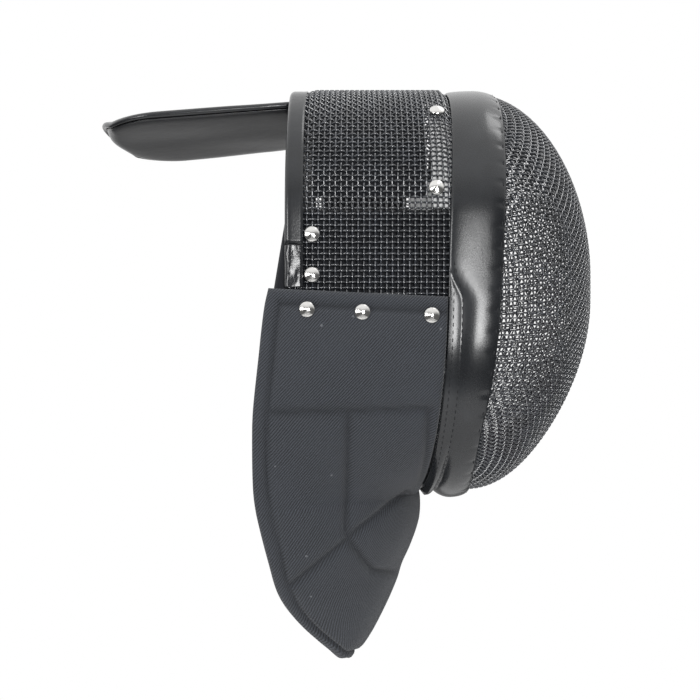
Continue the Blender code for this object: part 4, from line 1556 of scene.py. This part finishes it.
def bib_seam_paths(mesh):
    """Quilting seams and the rear hem laid on both outer sides of the bib."""
    lines = [[Vector(spot) * MM for spot in seam] for seam in BIB_SEAMS]
    rear = [bib_rear_point(0.02 + 0.9 * index / BIB_HEM_STEPS)
            for index in range(BIB_HEM_STEPS + 1)]
    hem = []
    for before, after in zip(rear, rear[1:]):
        reach = Vector((after.x - before.x, after.z - before.z)).normalized()
        hem.append(Vector((before.x, before.z)) + Vector((-reach.y, reach.x)) * BIB_HEM)
    lines.append(hem)
    surface = bmesh.new()
    surface.from_mesh(mesh)
    cloth = BVHTree.FromBMesh(surface)
    paths = []
    for line in lines:
        spots = []
        for before, after in zip(line, line[1:]):
            steps = max(round((after - before).length / MM), 1)
            spots += [before.lerp(after, index / steps) for index in range(steps)]
        for side in (1, -1):
            hits = [cloth.ray_cast(Vector((x, side * BIB_CAST_REACH, z)), Vector((0, -side, 0)))
                    for x, z in spots]
            hits = [hit for hit in hits if hit[0] is not None]
            if len(hits) > 1:
                paths.append(([hit[0] for hit in hits], [hit[1] for hit in hits]))
    surface.free()
    return paths


def tongue_outline(margin, start_inset, turn):
    """X place and half width of rows across the tongue, from its root to its tip."""
    root = -SEAT_TO_REAR + TONGUE_ROOT_INSIDE
    bend = -SEAT_TO_REAR - TONGUE_REACH + TONGUE_TIP_LENGTH
    full = TONGUE_WIDTH / 2
    rows = []
    for index in range(TONGUE_STEPS):
        share = index / TONGUE_STEPS
        x = between(root, bend, share)
        if x <= root - start_inset:
            rows.append((x, full * read_rows(TONGUE_ROWS, share, 1) - margin))
    tip_steps = TONGUE_STEPS // 2
    for index in range(tip_steps + 1):
        angle = math.radians(turn) * index / tip_steps
        x = bend - (TONGUE_TIP_LENGTH - margin) * math.sin(angle)
        half = (full - margin) * math.cos(angle) ** TONGUE_TIP_POWER
        rows.append((x, max(half, TONGUE_TIP_HALF)))
    return rows


def tongue_arch_half(x):
    """Half width over which the plate's edges bend down by the whole arch rise."""
    bend = -SEAT_TO_REAR - TONGUE_REACH + TONGUE_TIP_LENGTH
    past_bend = clamp((bend - x) / TONGUE_TIP_LENGTH)
    share = math.cos(math.asin(past_bend)) ** TONGUE_TIP_POWER
    return TONGUE_WIDTH / 2 * max(share, TONGUE_TIP_ARCH_SHARE)


def tongue_top(x, y):
    """Upper face of the tongue plate."""
    root = -SEAT_TO_REAR + TONGUE_ROOT_INSIDE
    inside = min(root - x, TONGUE_ROOT_INSIDE)
    outside = max(root - x - TONGUE_ROOT_INSIDE, 0.0)
    fall = inside * math.tan(math.radians(TONGUE_ROOT_DROOP)) + outside * math.tan(
        math.radians(TONGUE_DROOP))
    arch = TONGUE_ARCH_RISE * (y / tongue_arch_half(x)) ** 2
    return Vector((x, y, -TONGUE_SEAT_GAP - fall - arch))


def tongue_piece(name, node, rows, vinyl):
    """Closed vinyl piece over rows of points round it."""
    mesh = sheet_mesh(name, rows, around=True, caps=True)
    mesh.materials.append(vinyl)
    return dressed(link(name, mesh), "black_vinyl", node)


def cover_tongue(colours):
    """Vinyl cover of the spring plate with a piped rim, and the puffed pad below it."""
    vinyl = vinyl_finish("tongue_vinyl", colours.vinyl, 0.22, 0.12 * MM)
    shares = [math.cos(math.pi * column / TONGUE_COLUMNS) for column in range(TONGUE_COLUMNS + 1)]
    rows = []
    tip = -SEAT_TO_REAR - TONGUE_REACH
    for x, half in tongue_outline(0.0, 0.0, 90):
        past_bend = max(1 - (x - tip) / TONGUE_TIP_LENGTH, 0.0)
        drop = TONGUE_TIP_DROP * max(1 - (x - tip) / TONGUE_TIP_FADE, 0.0) ** 2
        top = []
        under = []
        for share in shares:
            spot = tongue_top(x, half * share)
            reach = math.sqrt(past_bend ** 2 + (1 - past_bend ** 2) * share ** 2)
            from_edge = min(half * (1 - abs(share)), TONGUE_WIDTH / 2 * (1 - reach))
            edge = math.sqrt(1 - max(1 - from_edge / (TONGUE_WALL / 2), 0.0) ** 2)
            edge = max(edge, 0.05)
            pipe = math.exp(-((from_edge - TONGUE_PIPE_INSET) / TONGUE_PIPE_WIDTH) ** 2)
            bulge = soft_noise(spot, 30 * MM, 0.3 * MM)
            rise = bulge * edge - TONGUE_WALL / 2 * (1 - edge) - drop
            fall = TONGUE_WALL / 2 * (1 + edge) + pipe * TONGUE_PIPE * edge + drop
            top.append(spot + Vector((0, 0, rise)))
            under.append(spot - Vector((0, 0, fall)))
        rows.append(top + under[-2:0:-1])
    made = tongue_piece("tongue_plate", "tongue_cover", rows, vinyl)

    seat = TONGUE_WALL + TONGUE_PAD_SEAT
    sections = tongue_outline(TONGUE_PAD_MARGIN, TONGUE_PAD_START, 84)
    tip = sections[-1][0]
    root = sections[0][0]
    rows = []
    for x, half in sections:
        near_end = min(abs(x - tip), abs(x - root)) / TONGUE_PAD_THICK
        fade = math.sqrt(1 - max(1 - near_end, 0.0) ** 2)
        body = TONGUE_PAD_THICK * between(0.2, 1.0, fade)
        upper = []
        under = []
        for share in shares:
            top = tongue_top(x, half * share)
            round_edge = math.sqrt(max(1 - share ** 24, 0.0))
            puff = 0.3 * MM + body * ((1 - share ** 2) * 0.88 + 0.12) * round_edge
            puff += soft_noise(top * Vector((0.4, 0.8, 1)), 26 * MM, 0.5 * MM) * (1 - share ** 2)
            upper.append(top - Vector((0, 0, seat)))
            under.append(top - Vector((0, 0, seat + puff)))
        rows.append(upper + under[-2:0:-1])
    made = tongue_piece("tongue_cushion", "tongue_pad", rows, vinyl)


def bib_edge_z(x):
    rear = -BIB_BACK * BIB_REAR_ROWS[0][1]
    front = trim_rear_x(-BIB_TOP_DROP)
    return -BIB_TOP_DROP - BIB_TOP_SLOPE * (x - rear) / (front - rear)


def rivet_places():
    """Name, place along the side, height, cap seat and tail seat of the rivets of one side."""
    on_bib = BIB_INSET + BIB_WALL + GAP
    in_lining = LINING_OUTSET - LINING_WALL - GAP
    in_strip = -(MESH_WALL + STRIP_GAP + STRIP_WALL + GAP)
    rear_x = -SEAT_TO_REAR + REAR_RIVET_INSET
    bib_rear_x = rear_x - BIB_REAR_RIVET_BACK
    low = trim_rear_x(-BIB_TOP_DROP) - BIB_FRONT_RIVET_INSET
    places = [
        ("upper_rear", rear_x, -WRAP_TOP_DROP + UPPER_REAR_RIVET_RISE, CAP_GAP, in_lining),
        ("lower_rear", rear_x, -WRAP_BOTTOM_DROP + LOWER_REAR_RIVET_RISE, CAP_GAP, in_lining),
        ("bib_rear", bib_rear_x, bib_edge_z(bib_rear_x) - BIB_RIVET_INSET, on_bib, in_lining),
        ("bib_middle", BIB_MIDDLE_RIVET_X, bib_edge_z(BIB_MIDDLE_RIVET_X) - BIB_RIVET_INSET,
         on_bib, in_lining),
        ("bib_front", low, bib_edge_z(low) - BIB_RIVET_INSET, on_bib, in_lining),
    ]
    for name, height in (
            ("rim_lower", -STRIP_BOTTOM_DROP + LOWER_RIM_RIVET_RISE),
            ("rim_upper", -STRIP_TOP_DROP + UPPER_RIM_RIVET_RISE)):
        x = trim_rear_x(height) - RIM_RIVET_INSET
        places.append((name, x, height, CAP_GAP, in_strip))
    return places


def turned(name, profile, sides):
    """Closed mesh turned about Z from radius and height pairs that start and end at the axis."""
    drawn = bmesh.new()
    rings = []
    for radius, height in profile:
        if radius == 0:
            rings.append([drawn.verts.new((0, 0, height))])
            continue
        rings.append([
            drawn.verts.new((
                radius * math.cos(2 * math.pi * index / sides),
                radius * math.sin(2 * math.pi * index / sides), height))
            for index in range(sides)])
    for low, high in zip(rings, rings[1:]):
        for index in range(sides):
            corners = [low[index % len(low)], low[(index + 1) % len(low)],
                       high[(index + 1) % len(high)], high[index % len(high)]]
            kept = []
            for vert in corners:
                if vert not in kept:
                    kept.append(vert)
            if len(kept) > 2:
                drawn.faces.new(kept)
    bmesh.ops.recalc_face_normals(drawn, faces=drawn.faces)
    mesh = bpy.data.meshes.new(name)
    drawn.to_mesh(mesh)
    drawn.free()
    mesh.shade_smooth()
    stored = mesh.attributes.new("turning", "FLOAT", "POINT")
    stored.data.foreach_set("value", [math.hypot(vert.co.x, vert.co.y) for vert in mesh.vertices])
    return mesh


def rivet_tree():
    """A rivet at each point, its axis turned along the point's outward vector."""
    tree = Tree("set_rivets", {"Rivet": "NodeSocketObject"})
    source = tree.source.outputs
    form = tree.node("GeometryNodeObjectInfo", sockets={"Object": source["Rivet"]})
    turn = tree.node("FunctionNodeAlignRotationToVector", {"axis": "Z"}, {
        "Vector": tree.stored("lift")})
    placed = tree.node("GeometryNodeInstanceOnPoints", sockets={
        "Points": source["Geometry"], "Instance": form.outputs["Geometry"],
        "Rotation": turn.outputs[0]})
    tree.finish(placed.outputs[0])
    return tree


def set_rivets(sizes, colours):
    """Rivets of both sides, one piece for each pair of seats of cap and tail."""
    radius = sizes.rivet_radius
    tall = sizes.rivet_height
    tree = rivet_tree()
    material = nickel_finish(colours)
    groups = {}
    for name, x, height, cap_seat, tail_seat in rivet_places():
        groups.setdefault((cap_seat, tail_seat), []).append((name, x, height))
    for number, ((cap_seat, tail_seat), members) in enumerate(sorted(groups.items()), 1):
        profile = [
            (radius * wide, cap_seat + tall * high) for wide, high in RIVET_ROWS]
        profile += [(RIVET_SHANK, cap_seat), (RIVET_SHANK, tail_seat)]
        profile += [
            (RIVET_TAIL_RADIUS * wide, tail_seat - RIVET_TAIL * low) for wide, low in TAIL_ROWS]
        form = link("rivet_form", turned("rivet_form", profile, RIVET_SIDES))
        points = []
        nodes = []
        for name, x, height in members:
            for side_name, side in SIDES:
                spot, normal = arch_point(x, station_at(height, side), 0.0)
                points.append(([spot], [normal]))
                nodes.append("rivet_" + name + "_" + side_name)
        piece = "rivets_" + str(number)
        made = tree.run(piece, path_mesh(piece, points), material, Rivet=form)
        bpy.data.objects.remove(form)
        dressed(made, "nickel", *nodes)


def set_stage():
    """Camera at the photograph's angle, pale floor and soft studio light."""
    scene = bpy.context.scene
    lens = bpy.data.cameras.new("camera")
    lens.sensor_width = 36
    lens.lens = CAMERA_LENS
    lens.shift_y = CAMERA_SHIFT
    lens.clip_start = 0.01
    camera = bpy.data.objects.new("camera", lens)
    camera.location = CAMERA_PLACE
    camera.rotation_euler = (math.pi / 2, 0, 0)
    scene.collection.objects.link(camera)
    scene.camera = camera

    mesh = bpy.data.meshes.new("floor")
    turns = [2 * math.pi * index / FLOOR_SIDES for index in range(FLOOR_SIDES)]
    ring = [(FLOOR_RADIUS * math.cos(turn), FLOOR_RADIUS * math.sin(turn), FLOOR_Z)
            for turn in turns]
    mesh.from_pydata(ring, [], [list(range(FLOOR_SIDES))])
    mesh.materials.append(floor_finish())
    link("floor", mesh)

    world = bpy.data.worlds.new("studio")
    world.use_nodes = True
    scene.world = world
    light_world(world.node_tree)
    scene.view_settings.view_transform = "Standard"
    scene.view_settings.look = "None"

    for name, spot, target, width, height, radiance in SOFTBOXES:
        light = bpy.data.lights.new(name, "AREA")
        light.shape = "RECTANGLE"
        light.size = width
        light.size_y = height
        light.energy = radiance * math.pi * width * height
        lamp = bpy.data.objects.new(name, light)
        lamp.location = spot
        lamp.rotation_euler = (Vector(target) - Vector(spot)).to_track_quat("-Z", "Y").to_euler()
        scene.collection.objects.link(lamp)


def light_world(tree):
    """White room, bright overhead and behind the mask and dim on the camera's side."""
    seen = add_node(tree, "ShaderNodeLightPath")
    place = add_node(tree, "ShaderNodeTexCoord")
    lean = add_node(tree, "ShaderNodeVectorMath", {"operation": "DOT_PRODUCT"}, {
        0: place.outputs["Generated"], 1: ROOM_LEAN})
    ramp = add_node(tree, "ShaderNodeMapRange", {"interpolation_type": "SMOOTHSTEP"}, {
        0: lean.outputs["Value"], 1: ROOM_RAMP[0], 2: ROOM_RAMP[1], 3: ROOM_DIM, 4: ROOM_BRIGHT})
    strength = add_node(tree, "ShaderNodeMix", None, {
        0: seen.outputs["Is Camera Ray"], 2: ramp.outputs[0], 3: 1.0})
    back = tree.nodes["Background"]
    back.inputs["Color"].default_value = (1.0, 1.0, 1.0, 1.0)
    tree.links.new(strength.outputs[0], back.inputs["Strength"])


class MASK_OT_stage(bpy.types.Operator):
    """Set the camera, floor and lights"""

    bl_idname = "fencing_mask.stage"
    bl_label = "Stage"

    def execute(self, context):
        set_stage()
        return {"FINISHED"}


class MASK_OT_side_mesh(bpy.types.Operator):
    """Weave the wires of the side mesh"""

    bl_idname = "fencing_mask.side_mesh"
    bl_label = "Side Mesh"

    def execute(self, context):
        weave_side_mesh(context.scene.mask_sizes, context.scene.mask_colours)
        return {"FINISHED"}


class MASK_OT_face_mesh(bpy.types.Operator):
    """Weave the wires of the face bowl"""

    bl_idname = "fencing_mask.face_mesh"
    bl_label = "Face Mesh"

    def execute(self, context):
        weave_face_mesh(context.scene.mask_sizes, context.scene.mask_colours)
        return {"FINISHED"}


class MASK_OT_trims(bpy.types.Operator):
    """Cover the front rim and bind the rear edge"""

    bl_idname = "fencing_mask.trims"
    bl_label = "Trims"

    def execute(self, context):
        cover_front_trim(context.scene.mask_sizes, context.scene.mask_colours)
        bind_rear_edge(context.scene.mask_colours)
        return {"FINISHED"}


class MASK_OT_linings(bpy.types.Operator):
    """Pad the crown and hang the side linings"""

    bl_idname = "fencing_mask.linings"
    bl_label = "Pads and Linings"

    def execute(self, context):
        pad_head(context.scene.mask_colours)
        hang_linings(context.scene.mask_colours)
        return {"FINISHED"}


class MASK_OT_bib(bpy.types.Operator):
    """Quilt the bib"""

    bl_idname = "fencing_mask.bib"
    bl_label = "Bib"

    def execute(self, context):
        quilt_bib(context.scene.mask_sizes, context.scene.mask_colours)
        return {"FINISHED"}


class MASK_OT_tongue(bpy.types.Operator):
    """Cover the tongue and its pad"""

    bl_idname = "fencing_mask.tongue"
    bl_label = "Tongue"

    def execute(self, context):
        cover_tongue(context.scene.mask_colours)
        return {"FINISHED"}


class MASK_OT_rivets(bpy.types.Operator):
    """Set the rivets"""

    bl_idname = "fencing_mask.rivets"
    bl_label = "Rivets"

    def execute(self, context):
        set_rivets(context.scene.mask_sizes, context.scene.mask_colours)
        return {"FINISHED"}


OPERATORS = (
    MASK_OT_stage, MASK_OT_side_mesh, MASK_OT_face_mesh, MASK_OT_trims, MASK_OT_linings,
    MASK_OT_bib, MASK_OT_tongue, MASK_OT_rivets)


class MASK_PT_panel(bpy.types.Panel):
    """Sizes, colours and build buttons of the fencing mask"""

    bl_idname = "MASK_PT_panel"
    bl_label = "Fencing Mask"
    bl_space_type = "VIEW_3D"
    bl_region_type = "UI"
    bl_category = "Mask"

    def draw(self, context):
        for owner in (context.scene.mask_sizes, context.scene.mask_colours):
            box = self.layout.box()
            for name in owner.bl_rna.properties.keys():
                if name not in ("rna_type", "name"):
                    box.prop(owner, name)
        for operator in OPERATORS:
            self.layout.operator(operator.bl_idname)


CLASSES = (MaskSizes, MaskColours) + OPERATORS + (MASK_PT_panel,)


def register():
    for made in CLASSES:
        bpy.utils.register_class(made)
    bpy.types.Scene.mask_sizes = PointerProperty(type=MaskSizes)
    bpy.types.Scene.mask_colours = PointerProperty(type=MaskColours)


def unregister():
    del bpy.types.Scene.mask_colours
    del bpy.types.Scene.mask_sizes
    for made in reversed(CLASSES):
        bpy.utils.unregister_class(made)


def main():
    register()
    steps = bpy.ops.fencing_mask
    for operator in OPERATORS:
        getattr(steps, operator.bl_idname.split(".")[1])()


if __name__ == "__main__":
    main()
